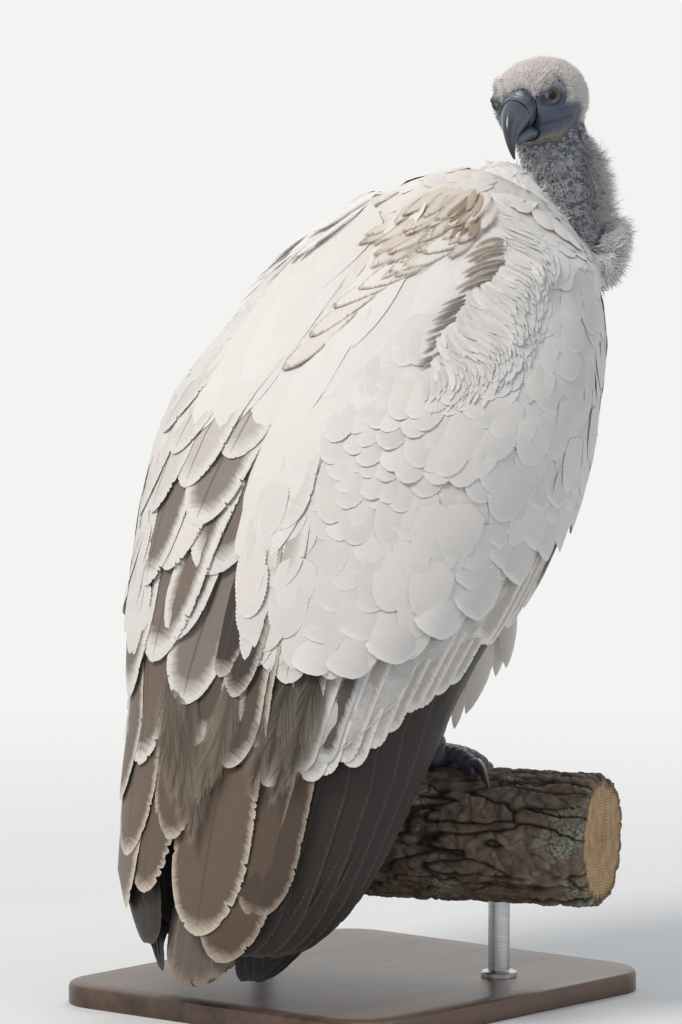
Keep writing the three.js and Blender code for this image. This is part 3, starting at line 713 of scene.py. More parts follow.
def keep_biggest(mesh):
    """Deletes every part of a mesh but the biggest, such as the walls of closed hollows."""
    form = bmesh.new()
    form.from_mesh(mesh)
    left = set(form.verts)
    parts = []
    while left:
        part, edge = set(), [left.pop()]
        while edge:
            vertex = edge.pop()
            part.add(vertex)
            for link in vertex.link_edges:
                other = link.other_vert(vertex)
                if other in left:
                    left.discard(other)
                    edge.append(other)
        parts.append(part)
    parts.sort(key=len)
    for part in parts[:-1]:
        bmesh.ops.delete(form, geom=list(part), context="VERTS")
    form.to_mesh(mesh)
    form.free()


def smooth_mesh(mesh, rounds):
    """Rounds off a mesh without shrinking it, and returns each point's number of neighbours."""
    points, edges, _ = mesh_arrays(mesh)
    counts = neighbours(edges, len(points))
    for _ in range(rounds):
        points = laplace(points, edges, counts, rounds=1, amount=0.6)
        points = laplace(points, edges, counts, rounds=1, amount=-0.62)
    points = laplace(points, edges, counts, rounds=3)
    move_points(mesh, points)
    return counts


def owner_of(points):
    """The flesh node nearest to each point, as its place in FLESH_NAMES."""
    found = [node_tree.find_nearest(Vector(p))[2] for p in points]
    return node_owner[np.array(found)]


outer_mesh, node_tree, node_owner = outer_form()
outer_counts = smooth_mesh(outer_mesh, rounds=36)
outer_points, outer_edges, outer_normals = mesh_arrays(outer_mesh)
outer_tree = mesh_tree(outer_mesh, outer_points)
outer_corners = [tuple(p.vertices) for p in outer_mesh.polygons]
outer_quads = np.array([f if len(f) == 4 else (*f, f[-1]) for f in outer_corners])
outer_owner = owner_of(outer_points)


def on_outer(points):
    """The nearest places on the outer form, with the smooth normals there."""
    found = [outer_tree.find_nearest(Vector(p)) for p in points]
    places = np.array([f[0] for f in found])
    normals = outer_normals[outer_quads[[f[2] for f in found]]].mean(1)
    return places, unit(normals)


# ---------------------------------------------------------------- the folded wings' outer form
WING_OWNERS = owners("wing_left_coverts", "wing_right_coverts")
NECK_OWNERS = owners("neck_upper", "neck_lower")
CLOAK = smooth([
    [490, -92, 44, 34],
    [476, -90, 72, 54],
    [458, -86, 97, 76],
    [440, -84, 117, 94],
    [410, -75, 142, 117],
    [347, -39, 174, 144],
    [302, -6, 193, 151],
    [243, 18, 197, 158],
    [168, 54, 186, 148],
    [102, 94, 170, 124],
    [60, 110, 156, 114],
    [2, 135, 146, 100],
    [-82, 177, 124, 72],
    [-125, 198, 92, 54],
    [-160, 212, 70, 40],
])  # height, centre Y, half width and half depth of the ellipse that both wings make
COVERT_HEM = smooth([
    [0, 30],
    [25, 15],
    [52, 22],
    [70, 58],
    [88, 103],
    [100, 128],
    [115, 146],
    [150, 165],
])  # where the wing's covert feathers end, by angle round the wings from the back's middle line


def cloak_point(side, angle, z, inset=0.0):
    """A place on the wings' outer form, set in from it. The angle is in degrees from the back's middle."""
    form = CLOAK(z)
    a = np.radians(angle)
    groove = 10 * bell(np.asarray(angle, float) / 9) * ease((np.asarray(z) + 40) / 160)
    half = form[..., 1] - inset - groove
    deep = form[..., 2] - inset - groove
    return np.stack([side * (0.4 + half * np.sin(a)), form[..., 0] + deep * np.cos(a), z + 0 * half], -1)


def cloak_normal(side, angle, z):
    step = 1.0
    round_it = cloak_point(side, angle + step, z) - cloak_point(side, angle - step, z)
    down_it = cloak_point(side, angle, z - 2 * step) - cloak_point(side, angle, z + 2 * step)
    return unit(np.cross(round_it, down_it)) * np.asarray(side)[..., None]


def bend(angle, z, width):
    """The camber that makes a feather of this width follow the wings' outer form."""
    form = CLOAK(z)
    half, deep = form[..., 1], form[..., 2]
    a = np.radians(angle)
    radius = ((half * np.cos(a)) ** 2 + (deep * np.sin(a)) ** 2) ** 1.5 / (half * deep)
    return width / (4 * radius)


def cloak_lines(side, angle0, z0, angle1, z1, inset):
    """Centrelines from a root to a tip, both given as angle and height on the wings' outer form."""
    t = np.linspace(0, 1, 9)[None]
    angle0, z0, angle1, z1 = (np.asarray(x, float)[:, None] for x in (angle0, z0, angle1, z1))
    angle, z = mix(angle0, angle1, t), mix(z0, z1, t)
    return cloak_point(side, angle, z, mix(inset[0], inset[1], t)), cloak_normal(side, angle, z)


def cloak_address(p):
    """The angle and side of places near the wings' outer form."""
    form = CLOAK(p[:, 2])
    across = np.abs(p[:, 0]) / form[:, 1]
    back = (p[:, 1] - form[:, 0]) / form[:, 2]
    return np.degrees(np.arctan2(across, back)), np.where(p[:, 0] > 0, LEFT, RIGHT)


# ---------------------------------------------------------------- the skin
THIN_COAT, WING_COAT = 0.3, 0.62  # the most of the flesh's thickness that the coat may take
SEARCH = 60  # how far through the flesh its thickness is looked for


def coat_depth():
    """How far the skin lies under the outer form, thinner where the flesh itself is thin."""
    wanted = np.array([FLESH[n] for n in FLESH_NAMES])[outer_owner][:, None]
    thick = np.full((len(outer_points), 1), 200.0)
    for i, (p, n) in enumerate(zip(outer_points, outer_normals)):
        hit = outer_tree.ray_cast(Vector(p - n * 0.5), Vector(-n), SEARCH)
        if hit[0] is not None:
            thick[i] = hit[3]
    on_wing = np.isin(outer_owner, WING_OWNERS)
    angle, side = cloak_address(outer_points)
    facing = np.sum(cloak_normal(side, angle, outer_points[:, 2]) * outer_normals, -1)
    above = outer_points[:, 2] - COVERT_HEM(angle)[:, 0]
    outward = (on_wing * ease((facing - 0.1) / 0.5) * ease((130 - above) / 40))[:, None]
    wanted = mix(wanted, np.maximum(wanted, 13.0), outward)
    share = mix(THIN_COAT, WING_COAT, outward) - 0.22 * (on_wing & (facing < -0.1))[:, None]
    depth = np.minimum(wanted, share * thick)
    return laplace(depth, outer_edges, outer_counts, rounds=10)


HEAD_MIDDLE = (0, -8, 0)
REFINED = (58, 50)  # how far from the head's middle each round of dividing reaches
SCULPTED = 52  # how far the lids, brow and folds may reach


def from_middle(p):
    """How far a place lies from the middle of the head."""
    return np.linalg.norm(to_head(p) - HEAD_MIDDLE, axis=-1)


def refine_head(mesh):
    """Divides the faces of the head twice, so that lids and folds can be shaped there."""
    form = bmesh.new()
    form.from_mesh(mesh)
    for reach in REFINED:
        near = {v: from_middle(np.array(v.co)) < reach for v in form.verts}
        edges = [e for e in form.edges if near[e.verts[0]] and near[e.verts[1]]]
        bmesh.ops.subdivide_edges(form, edges=edges, cuts=1, use_grid_fill=True)
    form.to_mesh(mesh)
    form.free()
    mesh.update()


LID_OPEN = 6.2  # the lids' opening and their outer rim, as radii round the eye's middle
LID_RIM = 8.4
GAZE = (0.66, -0.74, 0.04)  # the way the left eye looks, turned forwards from its socket
BROW_SLANT = 0.42  # how steeply the brow falls towards the bill


def eye_place(p, side):
    """Points of the head's frame seen from one eye: forwards, up, out along the way it looks, and above
    the slanted line of the brow. The last value is that way itself."""
    centre = HEAD_EYE * [side, 1, 1]
    out = unit([side * 0.85, -0.5, 0.14])
    forward = unit(np.array([0, -1, 0]) + out * out[1])
    up = np.cross(out, forward) * side
    up = up if up[2] > 0 else -up
    d = p - centre
    return d @ forward, d @ up, d @ out, d @ up + BROW_SLANT * (d @ forward), out


def gape_line(p):
    """How far above the line from the bill's corner to the cheek a place on the head lies."""
    return p[:, 2] + 12 + 0.15 * (p[:, 1] + 26)


def raise_brow(p):
    """Builds the brow out over each eye, lower towards the bill, so that the eye lies under it."""
    for side in (LEFT, RIGHT):
        forward, _, deep, slanted, out = eye_place(p, side)
        ledge = 6.6 - 0.50 * np.maximum(np.hypot(forward / 1.3, slanted) - 5, 0)
        rise = np.maximum(ledge - deep, 0) * ease((slanted - 1.0) / 2.5) * (deep > -4)
        p = p + (rise * ease((17 - np.abs(forward)) / 6))[:, None] * out
    return p


def sculpt_head(p):
    """Lids round the eyes, a brow over them, and folds from the gape to the cheek."""
    p = raise_brow(p)
    for side in (LEFT, RIGHT):
        forward, up, deep, slanted, out = eye_place(p, side)
        tall = np.where(slanted > 0, 0.50, 0.88)
        ring = np.hypot((forward - 1.2) / 1.06, np.where(slanted > 0, slanted, up) / tall)
        reach = np.hypot(forward, up)
        near = (deep > -11) & (reach < 19)
        ball = np.sqrt(np.maximum(EYE_RADIUS**2 - np.minimum(reach, EYE_RADIUS - 0.5) ** 2, 0))
        inside = ball - 3.2
        rim = ball + 0.7 + 0.9 * ease(slanted / 3)
        lid = mix(inside, rim, ease((ring - LID_OPEN + 0.9) / 0.9))
        crease = bell(ring - 10.6)
        brow = 1.5 * bell((slanted - 5.6) / 2.2, (forward - 2) / 11)
        target = mix(lid, deep, ease((ring - LID_RIM) / 5.5)) - crease
        covering = (ring > LID_OPEN) & (reach < EYE_RADIUS - 0.5)
        target = np.where(covering, np.maximum(target, ball + 0.8), target)
        shift = np.where(near, target - deep, 0) + brow * (deep > -11) * (ring > LID_OPEN + 0.4)
        p = p + shift[:, None] * out
    fold = bell(gape_line(p) / 1.6) * ease((-6 - p[:, 1]) / 12)
    cheek = bell((p[:, 2] + 8) / 9, (p[:, 1] + 12) / 12)
    p[:, 0] += np.sign(p[:, 0]) * (1.2 * cheek - 1.1 * fold)
    return p


def skin_colours(points, owner):
    """Blue-grey face and neck, painted shade before and over each eye and along the gape, a pale throat, and
    white or brown under the feathers.
    """
    hue = np.tile(np.append(WHITE * 0.8, 1), (len(points), 1))
    angle, side = cloak_address(points)
    reach = np.where(side == LEFT, 52, 24)
    inner = ease((reach - angle) / 8) * ease((120 - points[:, 2]) / 40) * np.isin(owner, WING_OWNERS)
    hue[:, :3] = mix(hue[:, :3], BROWN * 0.7, inner[:, None])
    p = to_head(points)
    is_head = np.isin(owner, owners("head"))
    hue[is_head | np.isin(owner, NECK_OWNERS), :3] = NECK_BLUE
    crown = ease((p[:, 2] - 6 + 0.35 * (p[:, 1] + 20)) / 14)
    face = mix(FACE_BLUE, srgb(200, 192, 188), crown[:, None])
    throat = ease((-p[:, 2] - 17) / 8)[:, None] * ease((-p[:, 1] - 4) / 14)[:, None]
    face = mix(face, srgb(158, 150, 128), 0.8 * throat)
    # painted shade: a dark line along the gape's crease, from the bill's corner back under the eye
    gape = bell(gape_line(p) / 1.3) * ease((-8 - p[:, 1]) / 10)
    face = mix(face, srgb(34, 36, 46), 0.7 * gape[:, None])
    for side in (LEFT, RIGHT):
        forward, up, deep, slanted, _ = eye_place(p, side)
        ring = np.hypot(forward, up)
        outside = deep > -4
        # painted shade before the eye, where the brow shades the face
        lore_shade = bell((forward - 9) / 7, (up - 1.5) / 5.0) * outside
        face = mix(face, srgb(40, 43, 54), 0.85 * lore_shade[:, None])
        # painted shade under the brow, in a band that slants over the eye
        brow = bell((slanted - 5.2) / 3.0, (forward - 3) / 11) * outside
        face = mix(face, srgb(36, 38, 48), 0.9 * brow[:, None])
        lid = bell((ring - 7.4) / 1.1) * (up < 3) * outside
        face = mix(face, LID_BLUE, 0.8 * lid[:, None])
    hue[is_head, :3] = face[is_head]
    return hue


def make_skin():
    depth = coat_depth()
    mesh = outer_mesh.copy()
    inner = outer_points - outer_normals * depth
    folds = np.array([noise.fractal(Vector(p / 9), 0.9, 2.0, 3) for p in inner])
    rings = np.sin(inner[:, 2] / 3.1 + 2.5 * folds)
    wrinkled = np.isin(outer_owner, NECK_OWNERS) * (0.7 * rings + 0.9 * folds)
    inner -= outer_normals * wrinkled[:, None]
    move_points(mesh, inner)
    refine_head(mesh)
    points, edges, _ = mesh_arrays(mesh)
    is_head = from_middle(points) < SCULPTED
    rounder = laplace(points, edges, neighbours(edges, len(points)), rounds=6)
    points = np.where(is_head[:, None], rounder, points)
    points[is_head] = from_head(sculpt_head(to_head(points[is_head])))
    colours = skin_colours(points, owner_of(points))
    move_points(mesh, to_world(points))
    obj = show("skin", mesh)
    mesh.polygons.foreach_set("use_smooth", np.ones(len(mesh.polygons), bool))
    layer = mesh.color_attributes.new("hue", "FLOAT_COLOR", "POINT")
    layer.data.foreach_set("color", colours.astype(np.float32).ravel())
    mesh.materials.append(skin_look())
    unwrap(obj)
    return dress(obj, "face_skin", FLESH_NAMES)


def unwrap(obj):
    """An unwrap of the skin's own shape, which the coat's bake map refers to."""
    for other in bpy.context.selected_objects:
        other.select_set(False)
    obj.data.uv_layers.new(name="OFBake")
    obj.select_set(True)
    bpy.context.view_layer.objects.active = obj
    bpy.ops.object.mode_set(mode="EDIT")
    bpy.ops.mesh.select_all(action="SELECT")
    bpy.ops.uv.smart_project(angle_limit=math.radians(66), island_margin=0.001)
    bpy.ops.object.mode_set(mode="OBJECT")
    obj.select_set(False)


skin = make_skin()
skin_points = to_bird(mesh_arrays(skin.data)[0])
skin_tree = mesh_tree(skin.data, skin_points)
skin_uv = read(skin.data.uv_layers["OFBake"].data, "uv", 2)
skin_loop = np.array([p.loop_start for p in skin.data.polygons])
BAKE_PATCH = 0.003


def root_uv(roots):
    """Each root's place on the skin's unwrap."""
    faces = [skin_tree.find_nearest(Vector(p))[2] for p in roots]
    first = skin_loop[np.array(faces)]
    return (skin_uv[first] + skin_uv[first + 1] + skin_uv[first + 2]) / 3


# ---------------------------------------------------------------- feathers
def vane_template(lines, columns, split):
    """A vane's points and triangles. Each barb line leaves the rachis and ends on the outline, and the
    strip between two lines ends in a tooth. split is the share of a barb that is joined to the next."""
    root, share, side, tooth = [], [], [], []
    at = {}

    def add(key, r, f, s, is_tooth):
        at[key] = len(root)
        root.append(r)
        share.append(f)
        side.append(s)
        tooth.append(is_tooth)

    for k in range(lines + 1):
        add((0, k, 0), k / lines, 0, 0, 0)
    faces = []
    for s in (1, -1):
        for k in range(lines + 1):
            at[(s, k, 0)] = at[(0, k, 0)]
            for c in range(1, columns + 1):
                add((s, k, c), k / lines, split * c / columns, s, 0)
        for k in range(lines):
            add((s, k, "tooth"), (k + 0.62) / lines, 1, s, 1)
            for c in range(columns):
                a, b = at[(s, k, c)], at[(s, k, c + 1)]
                d, e = at[(s, k + 1, c)], at[(s, k + 1, c + 1)]
                faces += [(a, b, e), (a, e, d)] if s > 0 else [(a, e, b), (a, d, e)]
            a, b, e = at[(s, k, columns)], at[(s, k, "tooth")], at[(s, k + 1, columns)]
            faces.append((a, b, e) if s > 0 else (a, e, b))
    arrays = [np.array(x, float) for x in (root, share, side, tooth)]
    return (*arrays, np.array(faces))


def outline(s, tip, base, taper):
    """Half width of a vane, from 0 at the root to 1 at the tip. A larger tip is blunter."""
    body = base + (1 - base) * ease(s / 0.3)
    end = np.clip((s - taper) / (1 - taper), 0, 1)
    return body * np.maximum(1 - end**2.0, 0.001) ** (1 / tip)


class Flock:
    """Feathers gathered for one piece, as arrays of points, faces, maps and colours."""

    def __init__(self, name, look, slot):
        self.name, self.look, self.slot = name, look, slot
        self.points, self.faces, self.count = [], [], 0
        self.maps = {"OFBake": [], "vane": [], "barb": []}
        self.colours = {"hue": [], "fringe": []}

    def take(self, points, faces, vane, barb, hue, fringe):
        """points is feathers x points x 3, and faces is one feather's triangles."""
        number, each = points.shape[:2]
        if number == 0:
            return
        roots = root_uv(points[:, 0])
        offsets = self.count + np.arange(number)[:, None, None] * each
        self.points.append(points.reshape(-1, 3))
        self.faces.append((faces[None] + offsets).reshape(-1, 3))
        self.maps["OFBake"].append((roots[:, None] + BAKE_PATCH * vane).reshape(-1, 2))
        self.maps["vane"].append(vane.reshape(-1, 2))
        self.maps["barb"].append(barb.reshape(-1, 2))
        for key, value in (("hue", hue), ("fringe", fringe)):
            value = value[:, None] if value.ndim == 2 else value
            self.colours[key].append(np.broadcast_to(value, (number, each, 4)).reshape(-1, 4))
        self.count += number * each

    def make(self, *replaced):
        points, faces = np.concatenate(self.points), np.concatenate(self.faces)
        maps = {k: np.concatenate(v) for k, v in self.maps.items()}
        colours = {k: np.concatenate(v) for k, v in self.colours.items()}
        return piece(self.name, points, faces, self.look, self.slot, replaced, maps, colours)


def each_of(value, number):
    """One value for each of a number of feathers, as a column."""
    return np.broadcast_to(np.asarray(value, float), number)[:, None]


def lay_vanes(flock, lines, normals, width, template, hue, fringe, lift=(0, 2), camber=0.12, tip=2.2,
              base=0.75, lean=0.1, fray=0.12, roll=0.0, point=0.75, ripple=0.0, sink=0.4):
    """Lays vanes along centrelines (feathers x stations x 3), whose normals point outwards. lift is the
    height of the root and of the tip over the line, and sink is how far the rim bends down, in millimetres.
    A larger point is a longer tip."""
    root, share, side, tooth, faces = template
    number, stations = lines.shape[:2]
    if number == 0:
        return
    width, roll, fray, camber = (each_of(x, number) for x in (width, roll, fray, camber))
    length = np.linalg.norm(np.diff(lines, axis=1), axis=2).sum(1)[:, None]
    forward = unit(np.gradient(lines, axis=1))
    across = unit(np.cross(forward, normals))
    end = np.minimum(root + lean * (1 - root) + 0.02, 1)
    loose = fray * mix(0.3, 1.0, ease((root - 0.55) / 0.35))
    reach = share * (1 - 0.4 * tooth * loose * rng.random((number, len(root))))
    rim = share == share[share < 1].max()
    reach = reach * (1 - 0.8 * rim * loose * rng.random(reach.shape) ** 14)
    place = root + (end - root) * reach**1.25
    taper = np.clip(1 - point * width / length, 0.2, 0.95)
    half = width / 2 * outline(end[None], tip, base, taper)
    aside = half * reach * side
    spot = np.clip(place, 0, 1) * (stations - 1)
    low = np.minimum(spot.astype(int), stations - 2)
    part = (spot - low)[..., None]
    each = np.arange(number)[:, None]
    low = np.broadcast_to(low, (number, len(root)))
    part = np.broadcast_to(part, (number, len(root), 1))

    def along(values):
        return mix(values[each, low], values[each, low + 1], part)

    height = mix(each_of(lift[0], number), each_of(lift[1], number), np.clip(place, 0, 1) ** 0.8)
    relative = aside / np.maximum(width / 2, 1e-6)
    height = height - camber * width / 2 * relative**2 + roll * aside
    if ripple:
        phase = rng.random((number, 1)) * 6.28
        height = height + ripple * np.sin(9 * place + 3 * relative + phase)
    from_side = (1 - np.minimum(share, 1)) * half / 10 + 0.002
    from_tip = np.maximum(1 - place, 0) * length * 0.5 / 10 + 0.002
    inwards = (from_side**-3 + from_tip**-3) ** (-1 / 3)
    height = height - sink * ease(1 - inwards / 0.35)
    points = along(lines) + along(across) * aside[..., None] + along(unit(normals)) * height[..., None]
    vane = np.stack([0.5 + 0.5 * np.broadcast_to(side * share, place.shape), np.clip(place, 0, 1)], -1)
    start = root * length / 10 + rng.random((number, 1)) * 50
    barb = np.stack([inwards, np.broadcast_to(start, inwards.shape)], -1)
    flock.take(points, faces, vane, barb, hue, fringe)


def tuft_template(blades, segments):
    """A tuft's points and triangles: thin blades from one root, each a strip that ends in a point."""
    blade, share, side, faces = [], [], [], []
    for b in range(blades):
        first = len(blade)
        for k in range(segments):
            for s in (-1, 1):
                blade.append(b)
                share.append(k / segments)
                side.append(s)
        blade.append(b)
        share.append(1)
        side.append(0)
        for k in range(segments - 1):
            i = first + 2 * k
            faces += [(i, i + 1, i + 3), (i, i + 3, i + 2)]
        i = first + 2 * (segments - 1)
        faces.append((i, i + 1, i + 2))
    return np.array(blade), np.array(share, float), np.array(side, float), np.array(faces)


def lay_tufts(flock, roots, normals, headings, length, width, template, hue, spread=0.5, lift=(-1, 3),
              curl=0.3):
    """Tufts of down: each blade leaves the root within the spread of the heading, and lifts and curls."""
    blade, share, side, faces = template
    number = len(roots)
    if number == 0:
        return
    blades = blade.max() + 1
    length, width = each_of(length, number), each_of(width, number)
    across = unit(np.cross(headings, normals))
    fan = np.linspace(-1, 1, blades)[None] * spread
    angle = (fan + (rng.random((number, blades)) - 0.5) * 0.5)[:, blade]
    angle = angle + curl * (rng.random((number, blades)) - 0.5)[:, blade] * share**2 * 3
    reach = length * (0.7 + 0.5 * rng.random((number, blades)))[:, blade] * share
    body = width / 2 * (1 - 0.55 * share) * side
    ahead = np.cos(angle) * reach - np.sin(angle) * body
    aside = np.sin(angle) * reach + np.cos(angle) * body
    rise = mix(lift[0], lift[1] * (0.5 + rng.random((number, blades)))[:, blade], share**1.3)
    points = (roots[:, None] + headings[:, None] * ahead[..., None] + across[:, None] * aside[..., None]
              + normals[:, None] * rise[..., None])
    vane = np.stack(np.broadcast_arrays(0.5 + 0.3 * side, share), -1)
    vane = np.broadcast_to(vane, (*points.shape[:2], 2))
    flock.take(points, faces, vane, vane * 0.1, hue, hue)


def follow(roots, field, length, stations=6, clear=0.0):
    """Centrelines that start at the roots and follow the field over the outer form."""
    place, normal = on_outer(roots)
    lines, normals = [place], [normal]
    step = each_of(length, len(roots)) / (stations - 1)
    for _ in range(stations - 1):
        ahead = field(place, normal)
        place, normal = on_outer(place + ahead * step)
        lines.append(place)
        normals.append(normal)
    lines, normals = np.stack(lines, 1), np.stack(normals, 1)
    return lines + normals * clear, normals


def on(*names):
    """For scatter: the places that these nodes own."""
    return lambda p, o: np.isin(o, owners(*names))


AROUND = np.array(np.meshgrid(*[(-1, 0, 1)] * 3, indexing="ij")).reshape(3, -1).T
TRIES = 4  # roots tried for each that the spacing leaves room for
CLEAR = 0.85  # the least distance between two roots, as a share of the spacing


def scatter(wanted, spacing, seed):
    """Roots spread over the outer form where wanted(points, owner) holds, each clear of the others by
    the spacing, which is a length or a function of the points."""
    local = np.random.default_rng(seed)
    corners = outer_points[outer_quads]
    sides = corners[:, [1, 3]] - corners[:, :1]
    area = np.linalg.norm(np.cross(sides[:, 0], sides[:, 1]), axis=1)
    centre = corners.mean(1)
    area = np.where(wanted(centre, outer_owner[outer_quads[:, 0]]), area, 0)
    gap = spacing(centre) if callable(spacing) else np.full(len(centre), spacing)
    weight = area / gap**2
    number = int(weight.sum() * TRIES)
    picks = local.choice(len(area), number, p=weight / weight.sum())
    u, v = local.random((2, number, 1))
    c = corners[picks]
    points = mix(mix(c[:, 0], c[:, 1], u), mix(c[:, 3], c[:, 2], u), v)
    gaps = gap[picks]
    cell = gaps.max()
    grid, kept = {}, []
    keys = np.floor(points / cell).astype(int)
    for i in range(number):
        p, g = points[i], gaps[i]
        near = [j for step in AROUND for j in grid.get(tuple(keys[i] + step), ())]
        if near and np.min(np.sum((points[near] - p) ** 2, 1)) < (g * CLEAR) ** 2:
            continue
        grid.setdefault(tuple(keys[i]), []).append(i)
        kept.append(i)
    return points[kept]


def tangent(directions, normals):
    directions = directions - normals * np.sum(directions * normals, -1, keepdims=True)
    return unit(directions)


def varied(colour, number, amount, alpha=1.0, towards=None, share=None):
    """A colour for each feather, a little lighter or darker, and mixed by share towards another."""
    base = np.tile(colour, (number, 1))
    if towards is not None:
        base = mix(base, towards, np.asarray(share)[:, None])
    base = base * (1 + amount * (rng.random((number, 1)) - 0.5) * 2)
    return np.column_stack([np.clip(base, 0, 1), np.broadcast_to(alpha, number)])


# ---------------------------------------------------------------- the way the coat lies
WING_TIP = np.array([62, 214, -170])
NECK_FOOT = np.array([-2, -214, 430])


def coat_flow(p, n):
    """The way the coat lies: away from the neck at first, and then towards the folded wing's tip."""
    side = np.where(p[:, 0] > 0, 1, -1)
    to_tip = unit(WING_TIP * np.stack([side, side**2, side**2], -1) - p)
    away = p - NECK_FOOT
    near = np.exp(-np.linalg.norm(away, axis=1) / 80)[:, None]
    return tangent(mix(to_tip, unit(away), near), n)


def down_flow(_, n):
    return tangent([0.0, 0.12, -1.0], n)


def head_flow(p, n):
    """Back from the bill over the crown, and down the cheeks."""
    local = to_head(p)
    away = local - [0, -62, -2]
    away[:, 2] -= 18 * ease(-local[:, 2] / 20)
    return tangent(unit(away) @ HEAD_AXES.T, n)


RUFF_CENTRE = middle("ruff") / MM - FEET
NECK_FRONT = unit([-0.72, -0.69, 0])  # towards the throat's long down


def ruff_flow(p, n):
    """Out from the neck over the collar, and down."""
    away = p - RUFF_CENTRE
    away[:, 2] = -18
    return tangent(unit(away), n)


# ---------------------------------------------------------------- the coat's pieces
VANE_SOFT = vane_template(lines=9, columns=1, split=0.62)
VANE_MIDDLE = vane_template(lines=12, columns=2, split=0.93)
VANE_WIDE = vane_template(lines=30, columns=3, split=0.95)
VANE_LARGE = vane_template(lines=60, columns=3, split=0.97)
VANE_FRAYED = vane_template(lines=110, columns=3, split=0.975)
VANE_LOOSE = vane_template(lines=64, columns=2, split=0.40)
VANE_RAGGED = vane_template(lines=22, columns=2, split=0.72)
VANE_HAIR = vane_template(lines=52, columns=1, split=0.07)
TUFT_SHORT = tuft_template(blades=3, segments=2)
TUFT_STAR = tuft_template(blades=5, segments=2)
TUFT_LONG = tuft_template(blades=6, segments=4)

look_pale = feather_look("pale_feathers", streak=0.07)
look_flight = feather_look("flight_feathers", roughness=0.5, streak=0.30, sheen=0.08, rachis=0.5)
look_brown = feather_look("brown_feathers", roughness=0.65, streak=0.22, rachis=0.6, soft=0.30)
look_down = down_look("down")
# the ruff's down has less painted shade at its root than the other down
look_ruff = down_look("ruff_down", root=0.85)


def bareness(p):
    """How bare the head is at a place, from 0 on the crown to 1 round the eyes and before them."""
    local = to_head(p)
    bald = np.zeros(len(p))
    for side in (LEFT, RIGHT):
        forward, up, deep, over, _ = eye_place(local, side)
        ring = np.hypot(forward, up)
        bald = np.maximum(bald, (deep > -6) * ease((15.5 - ring) / 4) * ease((10.5 - over) / 3))
        front = ease((forward - 2) / 5) * ease((10 - over) / 4) * ease((26 - forward) / 4) * (deep > -8)
        bald = np.maximum(bald, 0.95 * front)
    face = ease((4 - local[:, 2] - 0.3 * (local[:, 1] + 20)) / 12) * ease((8 - local[:, 1]) / 16)
    return np.maximum(bald, 0.78 * face)


def coat_head():
    """Short felt-like down, thick on the crown and nape, thin on the cheeks and none round the eyes."""
    flock = Flock("coat_head", look_down, "face_skin")
    roots = scatter(on("head"), lambda p: 1.45 + 0.5 * bareness(p), seed=1)
    roots = roots[rng.random(len(roots)) > bareness(roots) ** 1.5]
    bald = bareness(roots)
    places, normals = on_outer(roots)
    headings = head_flow(places, normals)
    local = to_head(places)
    places = from_head(raise_brow(local))
    length = mix(6.0, 2.4, bald) * (0.75 + 0.5 * rng.random(len(roots)))
    length = np.where(local[:, 1] < -22, length * 0.62, length)
    hue = varied(srgb(232, 224, 218), len(roots), amount=0.07)
    hue[:, :3] = mix(hue[:, :3], srgb(112, 120, 134), np.clip(bald * 1.8, 0, 0.95)[:, None])
    shade = np.zeros(len(roots))
    for side in (LEFT, RIGHT):
        forward, _, deep, over, _ = eye_place(local, side)
        brow = bell((over - 7) / 4.5, (forward - 2) / 11) * (deep > -8)
        shade = np.maximum(shade, brow)
    hue[:, :3] = mix(hue[:, :3], srgb(62, 64, 76), 0.9 * shade[:, None])
    width = mix(0.85, 0.4, bald)
    high = mix(3.0, 1.2, bald)[:, None]
    lay_tufts(flock, places - normals * 1.0, normals, headings, length, width, TUFT_SHORT, hue,
              spread=0.5, lift=(0, high))
    flock.make()


def coat_neck():
    """White down in small stars on the blue-grey skin, thin over the throat's folds, long at the front."""
    flock = Flock("coat_neck", look_down, "neck_down")
    roots = scatter(on("neck_upper", "neck_lower"), 1.8, seed=2)
    folds = np.array([noise.noise(Vector(p / 5.5)) for p in roots])
    band = bell((roots[:, 2] - 516) / 9)
    roots = roots[folds > -0.55 + 0.5 * band]
    places, normals = on_outer(roots)
    headings = tangent([0.0, 0.15, -1.0] + 0.35 * rng.normal(size=places.shape), normals)
    front = ease((normals @ NECK_FRONT - 0.5) / 0.4) * ease((520 - places[:, 2]) / 30)
    dull = rng.random(len(places)) < mix(0.28, 0.62, ease((places[:, 2] - 488) / 30)) * (1 - front)
    hue = varied(SNOW, len(places), amount=0.06, alpha=1, towards=srgb(122, 127, 144), share=0.85 * dull)
    length = (4.0 + 14.0 * front) * (0.7 + 0.6 * rng.random(len(places)))
    high = mix(2.8, 12.0, front)[:, None]
    lay_tufts(flock, places - normals * 2.2, normals, headings, length, mix(0.8, 1.0, front), TUFT_STAR,
              hue, spread=mix(1.0, 0.5, front)[:, None], lift=(0, high), curl=0.8)
    flock.make()


